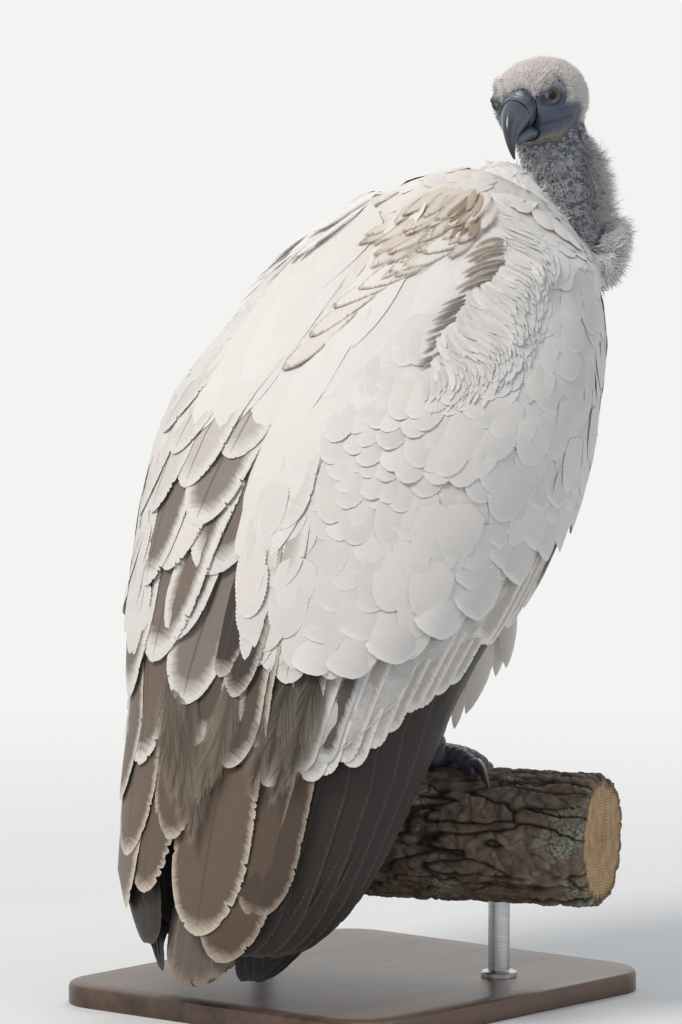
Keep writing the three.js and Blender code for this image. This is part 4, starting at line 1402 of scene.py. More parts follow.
def coat_ruff():
    """The collar: loose down at the front, and small smooth feathers where it meets the shoulders."""
    flock = Flock("coat_ruff", look_ruff, "ruff_down")
    ruff, trunk = on("ruff"), on("trunk")
    roots = scatter(lambda p, o: ruff(p, o) | trunk(p, o) & (by_neck(p) < 60), 3.0, seed=3)
    roots = roots[(roots[:, 1] < -205) | (rng.random(len(roots)) < 0.12)]
    places, normals = on_outer(roots)
    headings = ruff_flow(places, normals)
    loose = ease((-215 - places[:, 1]) / 30)
    hue = varied(np.minimum(SNOW * 1.1, 0.97), len(places), amount=0.03)
    length = mix(12, 15, loose) * (0.7 + 0.6 * rng.random(len(places)))
    sunk = places - normals * mix(5.0, 9, loose)[:, None]
    lay_tufts(flock, sunk, normals, headings, length, mix(1.9, 1.2, loose), TUFT_LONG, hue, spread=0.4,
              lift=(0, mix(3.5, 7.5, loose)[:, None]), curl=0.35)
    roots = scatter(lambda p, o: (ruff(p, o) | trunk(p, o) & (by_neck(p) < 64)) & (p[:, 1] > -224), 6.0,
                    seed=13)
    lines, normals = follow(roots, ruff_flow, 25, stations=5)
    hue = varied(SNOW, len(roots), amount=0.02, alpha=0.04)
    lay_vanes(flock, lines, normals, 17, VANE_MIDDLE, hue, varied(SNOW, len(roots), amount=0.02),
              lift=(-2.4, 0.3), camber=0.1, tip=2.0, fray=0.15, lean=0.12, sink=0.8)
    flock.make()


def by_neck(p):
    """How far a place lies from the neck's foot."""
    return np.linalg.norm(p - NECK_FOOT, axis=1)


def ruffled(p):
    """Raises feathers in soft uneven swells, so that no two parts of the coat lie quite alike."""
    return np.array([noise.fractal(Vector(q / 38), 0.8, 2.0, 2) for q in p])


SHOULDER_SEAM = (
    (-74, -80, 472),
    (-80, -86, 469),
    (-86, -92, 466),
    (-92, -97, 461),
    (-97, -101, 456),
    (-103, -110, 448),
    (-107, -118, 440),
)  # where the right wing's coat meets the back's, by the neck


def coat_body():
    """Soft contour feathers on the mantle, breast, belly and flanks."""
    trunk = on("trunk")

    def is_back(p):
        return (p[:, 2] > 330) & (p[:, 1] > -190)

    def is_mantle(p, o):
        return trunk(p, o) & is_back(p) & (by_neck(p) > 52)

    def is_breast(p, o):
        return trunk(p, o) & ~is_back(p)

    for name, wanted, gap, size, template, seed in (
        ("coat_mantle", is_mantle, 9.5, (36, 27), VANE_MIDDLE, 4),
        ("coat_breast", is_breast, 11.5, (40, 26), VANE_SOFT, 5),
    ):
        flock = Flock(name, look_pale, "body_feathers")
        roots = scatter(wanted, gap, seed=seed)
        length = size[0] * (0.85 + 0.3 * rng.random(len(roots)))
        lines, normals = follow(roots, coat_flow, length, stations=5,
                                clear=1.2 * ruffled(roots)[:, None, None])
        hue = varied(WHITE, len(roots), amount=0.05, alpha=0.06, towards=CREAM,
                     share=rng.random(len(roots)) * 0.4)
        loose = 0.1 if template is VANE_MIDDLE else 0.35
        fringe = varied(SNOW, len(roots), amount=0.03)
        lay_vanes(flock, lines, normals, size[1], template, hue, fringe, lift=(-1.8, 0.4), camber=0.07,
                  fray=loose, tip=2.0, roll=0.02 * rng.normal(size=len(roots)), lean=0.2, sink=1.0)
        if name == "coat_mantle":
            seam, normals = on_outer(np.array(SHOULDER_SEAM, float))
            lines, normals = follow(seam - 17 * coat_flow(seam, normals), coat_flow, 40, stations=6,
                                    clear=3.8)
            lay_vanes(flock, lines, normals, 26, VANE_MIDDLE,
                      varied(WHITE, len(seam), amount=0.03, alpha=0.05),
                      varied(SNOW, len(seam), amount=0.02), lift=(-2.0, 0.2), camber=0.08, tip=2.0,
                      fray=0.1, lean=0.15, sink=0.8)
        flock.make()


def coat_legs():
    """Loose hanging feathers on the thighs, down almost to the feet."""
    flock = Flock("coat_legs", look_pale, "body_feathers")
    roots = scatter(on("thigh_left", "thigh_right"), 8.0, seed=6)
    length = 36 * (0.8 + 0.4 * rng.random(len(roots)))
    lines, normals = follow(roots, down_flow, length, stations=5)
    hue = varied(WHITE, len(roots), amount=0.06, alpha=0.05, towards=CREAM,
                 share=rng.random(len(roots)) * 0.8)
    lay_vanes(flock, lines, normals, 17, VANE_SOFT, hue, varied(SNOW, len(roots), amount=0.03),
              lift=(-3, 2), camber=0.15, fray=0.5, tip=1.5, lean=0.25)
    plumes = np.array(LEG_PLUMES, float)
    root, tip, width = plumes[:, None, 0:3], plumes[:, None, 3:6], plumes[:, 6]
    number = len(plumes)
    t = np.linspace(0, 1, 7)[None, :, None]
    for side in (LEFT, RIGHT):
        lines = mix(root, tip, t) * [side, 1, 1]
        lines = lines + np.array([side * 0.8, 0.4, 0]) * 5 * np.sin(np.pi * t)
        normals = np.broadcast_to(unit(np.array([side * 0.75, 0.65, 0.1])), lines.shape)
        hue = varied(WHITE, number, amount=0.05, alpha=0.1, towards=CREAM, share=rng.random(number) * 0.6)
        lay_vanes(flock, lines, normals, width, VANE_WIDE, hue, varied(SNOW, number, amount=0.03),
                  lift=(0, 0), camber=0.2, tip=1.3, fray=0.3, lean=0.2, point=2.6)
    flock.make()


LEG_PLUMES = (
    (114, -24, 170, 107, -34, 84, 17),
    (106, -28, 150, 96, -34, 76, 15),
    (100, -24, 124, 74, -22, 44, 19),
    (90, -26, 116, 66, -26, 52, 15),
    (62, -10, 92, 50, -14, 14, 13),
    (54, -14, 84, 44, -20, 22, 12),
    (70, -20, 96, 60, -24, 30, 14),
)  # longer feathers that hang below the wing's edge: root, tip and width, on the left


# The scapulars' edge over the wing: height, and the angle that they reach to on each side.
SCAPULAR_EDGE = smooth([
    [470, 44, 44],
    [434, 54, 54],
    [404, 50, 56],
    [366, 46, 56],
    [320, 38, 58],
    [286, 29, 58],
    [254, 25, 56],
    [204, 22, 54],
    [150, 26, 50],
    [110, 30, 46],
])
FLUFFED = {"angle": 36, "height": 296, "wide": 13, "tall": 36}  # raised small coverts on the right wing


def edge_at(side, z):
    return SCAPULAR_EDGE(z)[..., 1 if side == LEFT else 0]


def coat_wing(side, name):
    """Lesser coverts, small and smooth at the shoulder and larger below."""
    flock = Flock(f"coat_wing_{name}", look_pale, "wing_coverts")
    wing = on(f"wing_{name}_coverts")

    def above_hem(p):
        return p[:, 2] - COVERT_HEM(cloak_address(p)[0])[:, 0]

    def wanted(p, owner):
        angle, _ = cloak_address(p)
        outside = angle > edge_at(side, p[:, 2]) - 17
        return wing(p, owner) & (above_hem(p) > 128) & outside

    def fluff(p):
        angle, _ = cloak_address(p)
        aside, above = angle - FLUFFED["angle"], p[:, 2] - FLUFFED["height"]
        return (side == RIGHT) * bell(aside / FLUFFED["wide"], above / FLUFFED["tall"])

    def ridge(p):
        angle, _ = cloak_address(p)
        off = angle - edge_at(side, p[:, 2]) - mix(5, 13, ease((p[:, 2] - 402) / 32))
        near = bell(off / mix(9, 17, off > 0)) * ease((p[:, 2] - 310) / 50)
        return near if side == RIGHT else 0.3 * near

    def wing_flow(p, n):
        angle, _ = cloak_address(p)
        round_it = cloak_point(side, angle + 2, p[:, 2]) - cloak_point(side, angle, p[:, 2])
        fan = unit(round_it) - [0, 0, 0.8]
        return tangent(mix(coat_flow(p, n), unit(fan), 0.85 * ridge(p)[:, None]), n)

    def gap(p):
        small = ease((p[:, 2] - 250) / 190)
        return mix(14.5, 9.0, small) - 1.5 * fluff(p) - 3.0 * ridge(p)

    roots = scatter(wanted, gap, seed=7 + side)
    number = len(roots)
    gaps, fluffed, ridged = gap(roots), fluff(roots), ridge(roots)
    length = gaps * mix(3.3, 4.2, ridged) * (0.92 + 0.16 * rng.random(number))
    angle, _ = cloak_address(roots)
    swell = (2.2 if side == RIGHT else 0.6) * ruffled(roots) + 4.5 * ridged
    lines, normals = follow(roots, wing_flow, length, stations=6, clear=swell[:, None, None])
    hue = varied(WHITE, number, amount=0.035, alpha=0.05, towards=PALE_GREY,
                 share=rng.random(number) * 0.35)
    fringe = varied(SNOW, number, amount=0.02)
    width = gaps * mix(2.5, 1.7, ridged)
    pressed = (side == LEFT) * ease((roots[:, 2] - 280) / 60)
    camber = bend(angle, roots[:, 2], width) + 0.2 * fluffed + pressed * 0.22
    lift = (-0.8, 3.2 * fluffed - (0 if side == RIGHT else 0.6))
    lay_vanes(flock, lines, normals, width, VANE_MIDDLE, hue, fringe, lift=lift, camber=camber, tip=2.0,
              fray=0.05, roll=0.02 * rng.normal(size=number), lean=0.12,
              sink=0.45 * (1 - fluffed)[:, None])
    if side == RIGHT:
        shoulder_streaks(flock, wing, ridge, wing_flow)
    flock.make()


def shoulder_streaks(flock, wing, ridge, wing_flow):
    """Narrow feathers that curl along the ridge of the right shoulder."""
    streaks = scatter(lambda p, o: wing(p, o) & (ridge(p) > 0.3), 4.6, seed=19)
    number, share = len(streaks), ridge(streaks)
    lines, normals = follow(streaks, wing_flow, 27 * (0.7 + 0.6 * rng.random(number)), stations=6,
                            clear=(2.2 * ruffled(streaks) + 4.5 * share)[:, None, None])
    hue = varied(WHITE, number, amount=0.05, alpha=0.04, towards=PALE_GREY * 0.85,
                 share=rng.random(number) * 0.6)
    lay_vanes(flock, lines, normals, 6.5, VANE_SOFT, hue, varied(SNOW, number, amount=0.04),
              lift=(-0.6, 1.3), camber=0.2, tip=1.4, fray=0.5, roll=0.15 * rng.normal(size=number),
              lean=0.3, sink=0, point=1.5)


def rows(flock, side, tips, angles, length, width, template, hue, fringe, alpha, inset, lift=(0, 1.0),
         turn=3.0, drop=10.0, jitter=1.0, puff=0.0, tilt=0.03, dip=0.0, tone=0.06, **shape):
    """One row of large feathers on a wing: tips[i] is the height of the tip at angles[i]."""
    angles = np.asarray(angles, float)
    number = len(angles)
    tips = tips + drop * jitter * (rng.random(number) - 0.5)
    angles = angles + jitter * 1.2 * (rng.random(number) - 0.5)
    length = length * (0.96 + 0.08 * rng.random(number))
    lines, normals = cloak_lines(side, angles + turn, tips + length, angles, tips, inset=inset)
    lines = lines - normals * np.broadcast_to(dip, number)[:, None, None]
    width = width * (0.94 + 0.12 * rng.random(number))
    colours = varied(hue, number, amount=tone, alpha=alpha * (0.85 + 0.3 * rng.random(number)))
    camber = bend(angles, tips + length / 3, width) + puff
    lay_vanes(flock, lines, normals, width, template, colours, varied(fringe, number, amount=0.03),
              lift=lift, camber=camber, roll=side * tilt, **shape)


def coverts(side, name):
    """The wing's greater and median coverts, in rows that follow its hem."""
    flock = Flock(f"coverts_{name}", look_pale, "wing_coverts")
    round_it = np.arange(26 if side == RIGHT else 58, 122, 4.9)
    mottled = rng.random(len(round_it)) < 0.3
    hem = COVERT_HEM(round_it)[:, 0]
    dark = round_it[mottled] - 2
    rows(flock, side, hem + 4, round_it, 132, 23, VANE_FRAYED, mix(PALE_GREY, TAN, 0.45), WHITE,
         alpha=0.34, inset=(9, 4.0), tip=2.4, fray=0.3, drop=22, tilt=0.14)
    rows(flock, side, COVERT_HEM(dark)[:, 0] + 14, dark, 128, 20, VANE_FRAYED, mix(DARK, GREY_BROWN, 0.45),
         PALE_GREY, alpha=0.42, inset=(8.5, 3.4), tip=2.2, fray=0.3, drop=24, tilt=0.14)
    for lifted, width, length, gap, depth, swell in (
        (88, 48, 74, 11.0, -1.0, 0.20),
        (112, 44, 70, 9.8, -0.2, 0.11),
        (136, 42, 66, 9.0, 0.1, 0.05),
        (160, 38, 60, 8.6, 0.0, 0.02),
    ):
        first = 30 if side == RIGHT else 62
        place = np.arange(first, 124, gap) + rng.random() * 3
        tips = COVERT_HEM(place)[:, 0] + lifted * mix(1.0, 0.62, ease((place - 60) / 50))
        rows(flock, side, tips, place, length, width, VANE_WIDE, mix(WHITE, PALE_GREY, 0.25), SNOW,
             alpha=0.15, inset=(4.5, depth), lift=(0, 14 * swell), puff=swell, tip=3.0, fray=0.05,
             ripple=0.3, point=0.6)
    flock.make()


def scapulars(side, name):
    """Long smooth white feathers from the shoulder, which end in tongues over the wing."""
    flock = Flock(f"scapulars_{name}", look_pale, "wing_coverts")
    lowest = 292 if side == LEFT else 196
    for tip_height in np.arange(lowest, 420, 31.0):
        reach = float(edge_at(side, tip_height)) - 8
        angles = np.arange(1.0 + rng.random() * 5, reach + 1, 10.0)
        tips = tip_height - 0.2 * angles
        length = np.minimum(132, 456 - tips)
        rows(flock, side, tips, angles, length, 56, VANE_LARGE, mix(WHITE, SNOW, 0.3), SNOW, alpha=0.05,
             inset=(2.6, -0.5), lift=(0, 0.1), tip=1.8, fray=0.10, turn=1.5, drop=22, tilt=0.02,
             point=1.3, sink=0.9, dip=(side == LEFT) * 5.5 * ease((angles - 28) / 18), tone=0.02)
    flock.make()


FOLD_LINE = (0, 15, 30, 45, 60), (386, 402, 422, 438, 456)  # angles, and the fold's height at each
# Feathers between the shoulders: the angle and height of each root and tip, and the width.
FOLD_FEATHERS = (
    (52, 458, 36, 439, 22),
    (48, 454, 26, 427, 26),
    (39, 444, 16, 412, 28),
    (30, 432, 7, 398, 30),
    (21, 420, 0, 383, 30),
    (14, 408, -2, 360, 30),
    (10, 394, -4, 334, 28),
)  # in a row along the fold that divides the two sides of the back
EDGE_FEATHERS = (
    (60, 438, 46, 431, 6),
    (60, 433, 42, 423, 7),
    (59, 427, 46, 419, 5),
    (59, 422, 42, 411, 8),
    (57, 415, 45, 407, 5),
    (56, 410, 41, 399, 7),
)  # brown ones that come out from under the shoulder


HAIR_TOOTH = VANE_HAIR[3][:, None]


def strand_hue(colour, towards, share):
    """Colours for vanes of hair: each strand is mixed towards another colour at its tip."""
    hue = mix(colour, towards, share)
    return np.concatenate([hue, np.full(share.shape, 0.02)], 2)


def mantle_tan():
    """Tan feathers between the shoulders, darker streaks among them that are partly brown down and partly
    painted shade, and a brown-edged row along the fold under them."""
    flock = Flock("mantle_tan", look_pale, "body_feathers")
    angle, z = [], []
    for i, height in enumerate(np.arange(400, 484, 8.0)):
        across = np.arange(-6 + 3.2 * (i % 2), 60, 6.4)
        angle.extend(across)
        z.extend(0 * across + height)
    angle = np.array(angle) + 1.6 * rng.normal(size=len(z))
    z = np.array(z) + 2.5 * rng.normal(size=len(z))
    fold = np.interp(angle, *FOLD_LINE)
    shoulder = 468 - 0.012 * (angle - 30) ** 2
    kept = (z > fold) & (z < shoulder) & (np.hypot((angle - 32) / 32, (z - 446) / 36) < 1)
    angle, z = angle[kept], z[kept]
    number = len(z)
    size = 0.8 + 0.45 * rng.random(number)
    turn = 4 * rng.normal(size=number)
    root_angle, root_z = angle + 8 * size, z + 13 * size
    lines, normals = cloak_lines(RIGHT, root_angle, root_z, angle - 5 + turn, z - 10, inset=(2.0, -1.4))
    patches = np.array([noise.noise(Vector((a / 13, h / 17, 3))) for a, h in zip(angle, z)])
    strong = np.clip(0.5 + 1.0 * patches + 0.3 * (rng.random(number) - 0.5), 0, 1)
    pale, warm = mix(WHITE, CREAM, 0.5), mix(CREAM, TAN, 0.6)
    hue = varied(pale, number, amount=0.04, alpha=0.04 + 0.09 * strong, towards=warm, share=0.4 * strong)
    fringe = varied(mix(CREAM, TAN, 0.8), number, amount=0.1, alpha=1, towards=BROWN,
                    share=0.25 + 0.75 * strong)
    lay_vanes(flock, lines, normals, 19 * size, VANE_LOOSE, hue, fringe, lift=(0, 2.0), camber=0.05,
              tip=1.7, fray=1.1, roll=0.12 * rng.normal(size=number), lean=0.35, sink=0.5, point=1.3)
    # the streaks: darker ragged feathers among the tan ones, partly brown down and partly painted shade
    deep = 16  # streaks
    angle, z = 45 + 4 * rng.normal(size=deep), 459 + 6 * rng.normal(size=deep)
    tip_angle = angle - 6 + 3 * rng.normal(size=deep)
    lines, normals = cloak_lines(RIGHT, angle + 6, z + 9, tip_angle, z - 9, inset=(1, -3.0))
    hue = varied(mix(CREAM, TAN, 0.5), deep, amount=0.08, alpha=0.05, towards=mix(TAN, BROWN, 0.8),
                 share=rng.random(deep) ** 1.5)
    lay_vanes(flock, lines, normals, 7, VANE_RAGGED, hue, varied(TAN, deep, amount=0.1), lift=(0, 1.6),
              camber=0.1, tip=1.4, fray=1.0, roll=0.2 * rng.normal(size=deep), lean=0.4, point=1.6,
              sink=0.4)
    angle0, z0, angle1, z1, width = np.array(FOLD_FEATHERS, float).T
    number = len(width)
    lines, normals = cloak_lines(RIGHT, angle0, z0, angle1, z1, inset=(1.0, -2.2))
    lay_vanes(flock, lines, normals, width, VANE_FRAYED, varied(WHITE, number, amount=0.03, alpha=0.06),
              varied(mix(TAN, BROWN, 0.85), number, amount=0.1), lift=(0, 1.4),
              camber=bend(angle1, z1 + 20, width), tip=1.6, fray=0.6, roll=-0.04, lean=0.1, sink=0.8,
              point=1.6)
    flock.make()


def shoulder_edge():
    """Brown frayed feathers that show below the right shoulder's ridge, and dark hair-like ones whose dark
    is partly their barbs and partly painted shade.
    """
    flock = Flock("shoulder_edge", look_brown, "wing_coverts")
    angle0, z0, angle1, z1, width = np.array(EDGE_FEATHERS, float).T
    number = len(width)
    lines, normals = cloak_lines(RIGHT, angle0, z0, angle1, z1, inset=(0.5, -2.4))
    lines[..., 2] += 3.5 * np.sin(np.linspace(0, np.pi, lines.shape[1]))
    hue = varied(mix(BROWN, DARK, 0.3), number, amount=0.2, alpha=0.12)
    lay_vanes(flock, lines, normals, width, VANE_RAGGED, hue, varied(CREAM, number, amount=0.05),
              lift=(0, 1.5), camber=0.2, tip=1.4, fray=0.6, roll=0.3 * rng.normal(size=number), lean=0.3,
              point=1.6, sink=0)
    # hair-like feathers whose dark roots are partly dark barbs and partly painted shade between the barbs
    z = np.linspace(394, 346, 17)
    number = len(z)
    root = 43 + 1.0 * rng.normal(size=number)
    tip_angle = root - 4 - 2.5 * rng.random(number)
    lines, normals = cloak_lines(RIGHT, root + 5, z + 4, tip_angle, z - 8, inset=(0.5, -2.2))
    hue = strand_hue(DARK * 1.3, WHITE, 0.8 * HAIR_TOOTH * rng.random((number, *HAIR_TOOTH.shape)))
    lay_vanes(flock, lines, normals, 6, VANE_HAIR, hue, varied(PALE_GREY, number, amount=0.05),
              lift=(0, 2.0), camber=0.2, tip=1.4, fray=1.0, lean=0.6, point=1.5, sink=-0.5)
    flock.make()


def edge_tufts():
    """Three groups of raised feathers that break the outline of the left shoulder."""
    flock = Flock("shoulder_tufts", look_pale, "wing_coverts")
    for angle, z, spread, number, size in ((34, 440, 14, 9, 16), (60, 398, 5, 6, 9), (48, 420, 8, 5, 12)):
        turn = angle + spread * (rng.random(number) - 0.5) * 2
        high = z + 14 * (rng.random(number) - 0.5) * 2
        lines, normals = cloak_lines(LEFT, turn, high + 22, turn + 4, high - 14, inset=(2.0, -2.0))
        hue, fringe = varied(SNOW, number, amount=0.03, alpha=0.1), varied(SNOW, number, amount=0.02)
        lay_vanes(flock, lines, normals, size, VANE_LOOSE, hue, fringe, lift=(0, 5), camber=0.2, tip=1.6,
                  fray=0.6, roll=0.1 * rng.normal(size=number), lean=0.35, point=1.2, sink=0.3)
    flock.make()


# The inner wing's large feathers, each by the angle and height of its tip, the angle of its root, its
# length and width, how brown it is from 0 to 1, and how broad its pale edge is in centimetres.
INNER = {
    LEFT: (
        (30, 262, 22, 110, 46, 0.10, 0.8),
        (42, 276, 37, 110, 46, 0.04, 0.8),
        (8, 264, 2, 110, 42, 0.45, 0.9),
        (20, 238, 14, 130, 50, 0.30, 0.9),
        (35, 214, 28, 120, 46, 0.10, 0.8),
        (13, 210, 3, 140, 52, 0.80, 1.0),
        (47, 208, 40, 120, 50, 0.05, 0.8),
        (7, 172, -3, 160, 58, 0.95, 1.2),
        (22, 172, 9, 110, 44, 0.05, 0.8),
        (32, 156, 24, 140, 54, 0.92, 1.1),
        (52, 152, 42, 120, 46, 0.40, 0.9),
        (15, 118, 4, 120, 42, 0.90, 0.9),
        (24, 98, 10, 160, 62, 0.95, 1.2),
        (10, 68, -2, 160, 48, 0.85, 0.8),
        (44, 64, 38, 170, 62, 1.00, 1.1),
        (5, 36, -6, 140, 44, 1.20, 0.8),
        (31, 14, 25, 190, 56, 1.00, 0.9),
        (51, -20, 46, 210, 54, 0.95, 1.0),
        (38, -60, 35, 230, 56, 1.00, 0.9),
        (48, -104, 44, 250, 56, 0.85, 1.2),
        (24, -86, 20, 250, 56, 1.05, 0.7),
        (10, -40, 6, 220, 50, 1.12, 0.6),
    ),
    RIGHT: (
        (14, 212, 9, 160, 42, 0.05, 0.6),
        (17, 166, 11, 130, 38, 0.42, 1.0),
        (6, 158, 8, 110, 34, 1.30, 0.5),
        (17, 116, 10, 130, 42, 0.05, 0.6),
        (2, 92, 7, 150, 40, 1.45, 0.4),
        (9, 78, 12, 140, 40, 1.45, 0.4),
        (26, 92, 22, 110, 36, 0.25, 0.7),
        (20, 40, 19, 150, 42, 1.42, 0.4),
        (31, 28, 28, 150, 38, 1.38, 0.4),
        (11, 22, 12, 160, 44, 1.30, 0.5),
        (7, -114, 9, 290, 70, 1.02, 0.9),
        (33, -96, 30, 250, 44, 1.50, 0.3),
        (22, -134, 21, 280, 58, 1.40, 0.5),
    ),
}  # the feathers of the two inner wings


def inner_wing(side, name):
    """Coverts and tertials of the inner wing: grey-brown centres, cream edges and frayed tips. Feathers
    that end higher lie over those that end lower."""
    flock = Flock(f"tertials_{name}", look_brown, "tertials")
    table = np.array(sorted(INNER[side], key=lambda row: row[1]))
    angle, tip, root_angle, length, width, brown, edge = table.T
    number = len(table)
    width = width * (mix(1.15, 1.5, ease((angle - 10) / 30)) if side == LEFT else 1.15)
    length = length + 34
    deep = 4.0 * ease((190 - tip) / 320)
    lines, normals = cloak_lines(side, root_angle, tip + length, angle, tip, inset=(0, 0))
    t = np.linspace(0, 1, lines.shape[1])[None, :, None]
    lines = lines - normals * (mix(6.0, -0.6, t) + deep[:, None, None])
    dark = np.clip(brown - 1, 0, 1)[:, None]
    light = np.clip(brown, 0, 1)[:, None]
    centre = mix(mix(WHITE, mix(GREY_BROWN, BROWN, 0.5) * 0.92, light), DARK, np.clip(dark * 1.9, 0, 1))
    below = ease((40 - tip) / 90)[:, None]
    centre = mix(centre, mix(centre, BROWN * 0.8, 0.6), below)
    centre = centre * (1 + 0.05 * rng.normal(size=(number, 1)))
    hue = np.column_stack([np.clip(centre, 0, 1), edge * mix(0.78, 0.34, below[:, 0])])
    pale = mix(SNOW, CREAM, np.clip(0.25 + 0.9 * below, 0, 1))
    pale = mix(pale, TAN, np.clip(dark * 1.1, 0, 0.8))
    fringe = np.column_stack([pale, np.ones(number)])
    lay_vanes(flock, lines, normals, width, VANE_FRAYED, hue, fringe, lift=(0, 0.6),
              camber=bend(angle, tip + 40, width), tip=1.9, fray=0.15 + 0.25 * rng.random(number),
              roll=-0.05, point=0.9)
    hairy(flock, side)
    flock.make(f"wing_{name}_tertials")


HAIRY_TIPS = {LEFT: ((13, 2), (6, -22), (0, -40)), RIGHT: ((5, -6), (24, 4), (32, -2))}  # angle and height


def hairy(flock, side):
    """A few loose feathers whose barbs hang apart like hair."""
    for angle, tip in HAIRY_TIPS[side]:
        colour = mix(BROWN, DARK, 0.8 if angle > 20 else 0.25)
        for turn in (-2.5, 2.5):
            end_angle, end = angle + turn, tip + 3 * turn
            lines, normals = cloak_lines(side, [angle + 3], [tip + 125], [end_angle], [end], inset=(5, -1))
            strand = mix(0.15, 1.0, rng.random((1, *HAIR_TOOTH.shape))) * HAIR_TOOTH
            hue = strand_hue(colour * 0.8, mix(colour, CREAM, 0.75), strand)
            lay_vanes(flock, lines, normals, 38, VANE_HAIR, hue, varied(TAN, 1, amount=0.1), lift=(0, 3.0),
                      camber=0.1, tip=1.4, fray=1.0, lean=0.62, point=1.5, sink=-1.0)


def flight(side, name):
    """Secondaries over primaries: long, dark and parallel, each with a thin pale edge."""
    flock = Flock(f"primaries_{name}", look_flight, "flight_feathers")
    angles = np.arange(46, 113, 9.0)
    tips = -150 + 0.012 * np.maximum(0, angles - 60) ** 2
    roots = COVERT_HEM(angles)[:, 0] + 30
    rows(flock, side, tips, angles, roots - tips, 40, VANE_LARGE, BLACK, DARK * 1.3, alpha=0.08,
         inset=(22, 18), lift=(0, 0.6), tip=1.8, fray=0.06, jitter=0.4, tilt=0.08, point=1.6)
    flock.make(f"wing_{name}_primaries")
    flock = Flock(f"secondaries_{name}", look_flight, "flight_feathers")
    angles = np.arange(34, 110, 10.2)
    tips = -128 + 0.0026 * (angles - 40) ** 2 + 0.010 * np.maximum(0, angles - 76) ** 2
    roots = COVERT_HEM(angles)[:, 0] + 36
    rows(flock, side, tips, angles, roots - tips, 46, VANE_LARGE, DARK * 1.1, mix(DARK, GREY_BROWN, 0.32),
         alpha=0.09, inset=(15, 11), lift=(0, 1.0), tip=2.2, fray=0.10, jitter=0.4, drop=8, tilt=0.10,
         point=0.9)
    flock.make(f"wing_{name}_secondaries")


TAIL_LOW, TAIL_HIGH = (to_bird(corner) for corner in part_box("tail"))


def tail():
    """Twelve grey-brown tail feathers in a narrow fan, worn at the tips."""
    flock = Flock("tail_feathers", look_brown, "tail_feathers")
    number = 12
    u = np.linspace(-1, 1, number)
    t = np.linspace(0, 1, 9)
    half = (TAIL_HIGH[0] - TAIL_LOW[0]) / 2
    x = u[:, None] * mix(half * 0.46, half * 0.72, ease(t * 1.2))
    root_z, tip_z = 62, TAIL_LOW[2] + 4
    z = mix(root_z, tip_z + 20 * u[:, None] ** 2, t)
    y = mix(188, TAIL_HIGH[1] - 3, t) - 11 * u[:, None] ** 2 - 3.0 * (np.arange(number) % 2)[:, None]
    lines = np.stack([x, y, z], -1)
    normals = unit(np.stack([0.3 * u, np.ones(number), np.full(number, 0.25)], -1))
    normals = np.broadcast_to(normals[:, None], lines.shape)
    hue = varied(srgb(110, 98, 93), number, amount=0.08, alpha=0.13)
    fringe = varied(mix(TAN, GREY_BROWN, 0.5), number, amount=0.1)
    lay_vanes(flock, lines, normals, 28, VANE_FRAYED, hue, fringe, lift=(0, 0), camber=0.1, tip=1.9,
              fray=0.5)
    flock.make("tail")


def make_coat():
    coat_head()
    coat_neck()
    coat_ruff()
    coat_body()
    coat_legs()
    for side, name in SIDES:
        coat_wing(side, name)
        scapulars(side, name)
        coverts(side, name)
        inner_wing(side, name)
        flight(side, name)
    mantle_tan()
    shoulder_edge()
    edge_tufts()
    tail()


# ---------------------------------------------------------------- bill, eyes, feet and claws
UPPER_BILL = smooth([[i, *row] for i, row in enumerate([
    [-27, 4, 14, 16.5],
    [-39, 5, 13.5, 16],
    [-51, 4.5, 12.5, 15],
    [-62, 1.5, 10, 12.5],
    [-71.5, -4, 7, 9],
    [-78, -12, 4.2, 5.6],
    [-80.5, -20, 2.2, 2.8],
    [-80.5, -26, 0.8, 0.9],
])])  # Y, Z, half width and half height along the bill's arc
LOWER_BILL = smooth([[i, *row] for i, row in enumerate([
    [-29, -15.5, 12, 7.5],
    [-43, -16, 10, 7],
    [-56, -16.5, 7, 5.5],
    [-66, -16.5, 3.5, 3],
    [-68, -16, 0.3, 0.3],
])])
LOWER_LOW = 0.95  # the lower bill's own height within the outline that the closed bill fills
NOSTRIL = (41, 9.5)  # how far forwards and how high the nostril's slit lies
CERE_END = 2.17  # where the cere gives way to horn, as a row of UPPER_BILL


def bill_form(table, start, end, steps, around, power, floor_share, grow=0.0):
    t = np.linspace(start, end, steps)
    row = table(t)
    centres = np.stack([np.zeros(steps), row[:, 0], row[:, 1]], -1)
    ahead = unit(np.gradient(centres, axis=0))
    ups = np.stack([np.zeros(steps), ahead[:, 2], -ahead[:, 1]], -1)
    return tube(centres, ups, row[:, 2] + grow, row[:, 3] + grow, around=around, power=power,
                floor_share=floor_share)


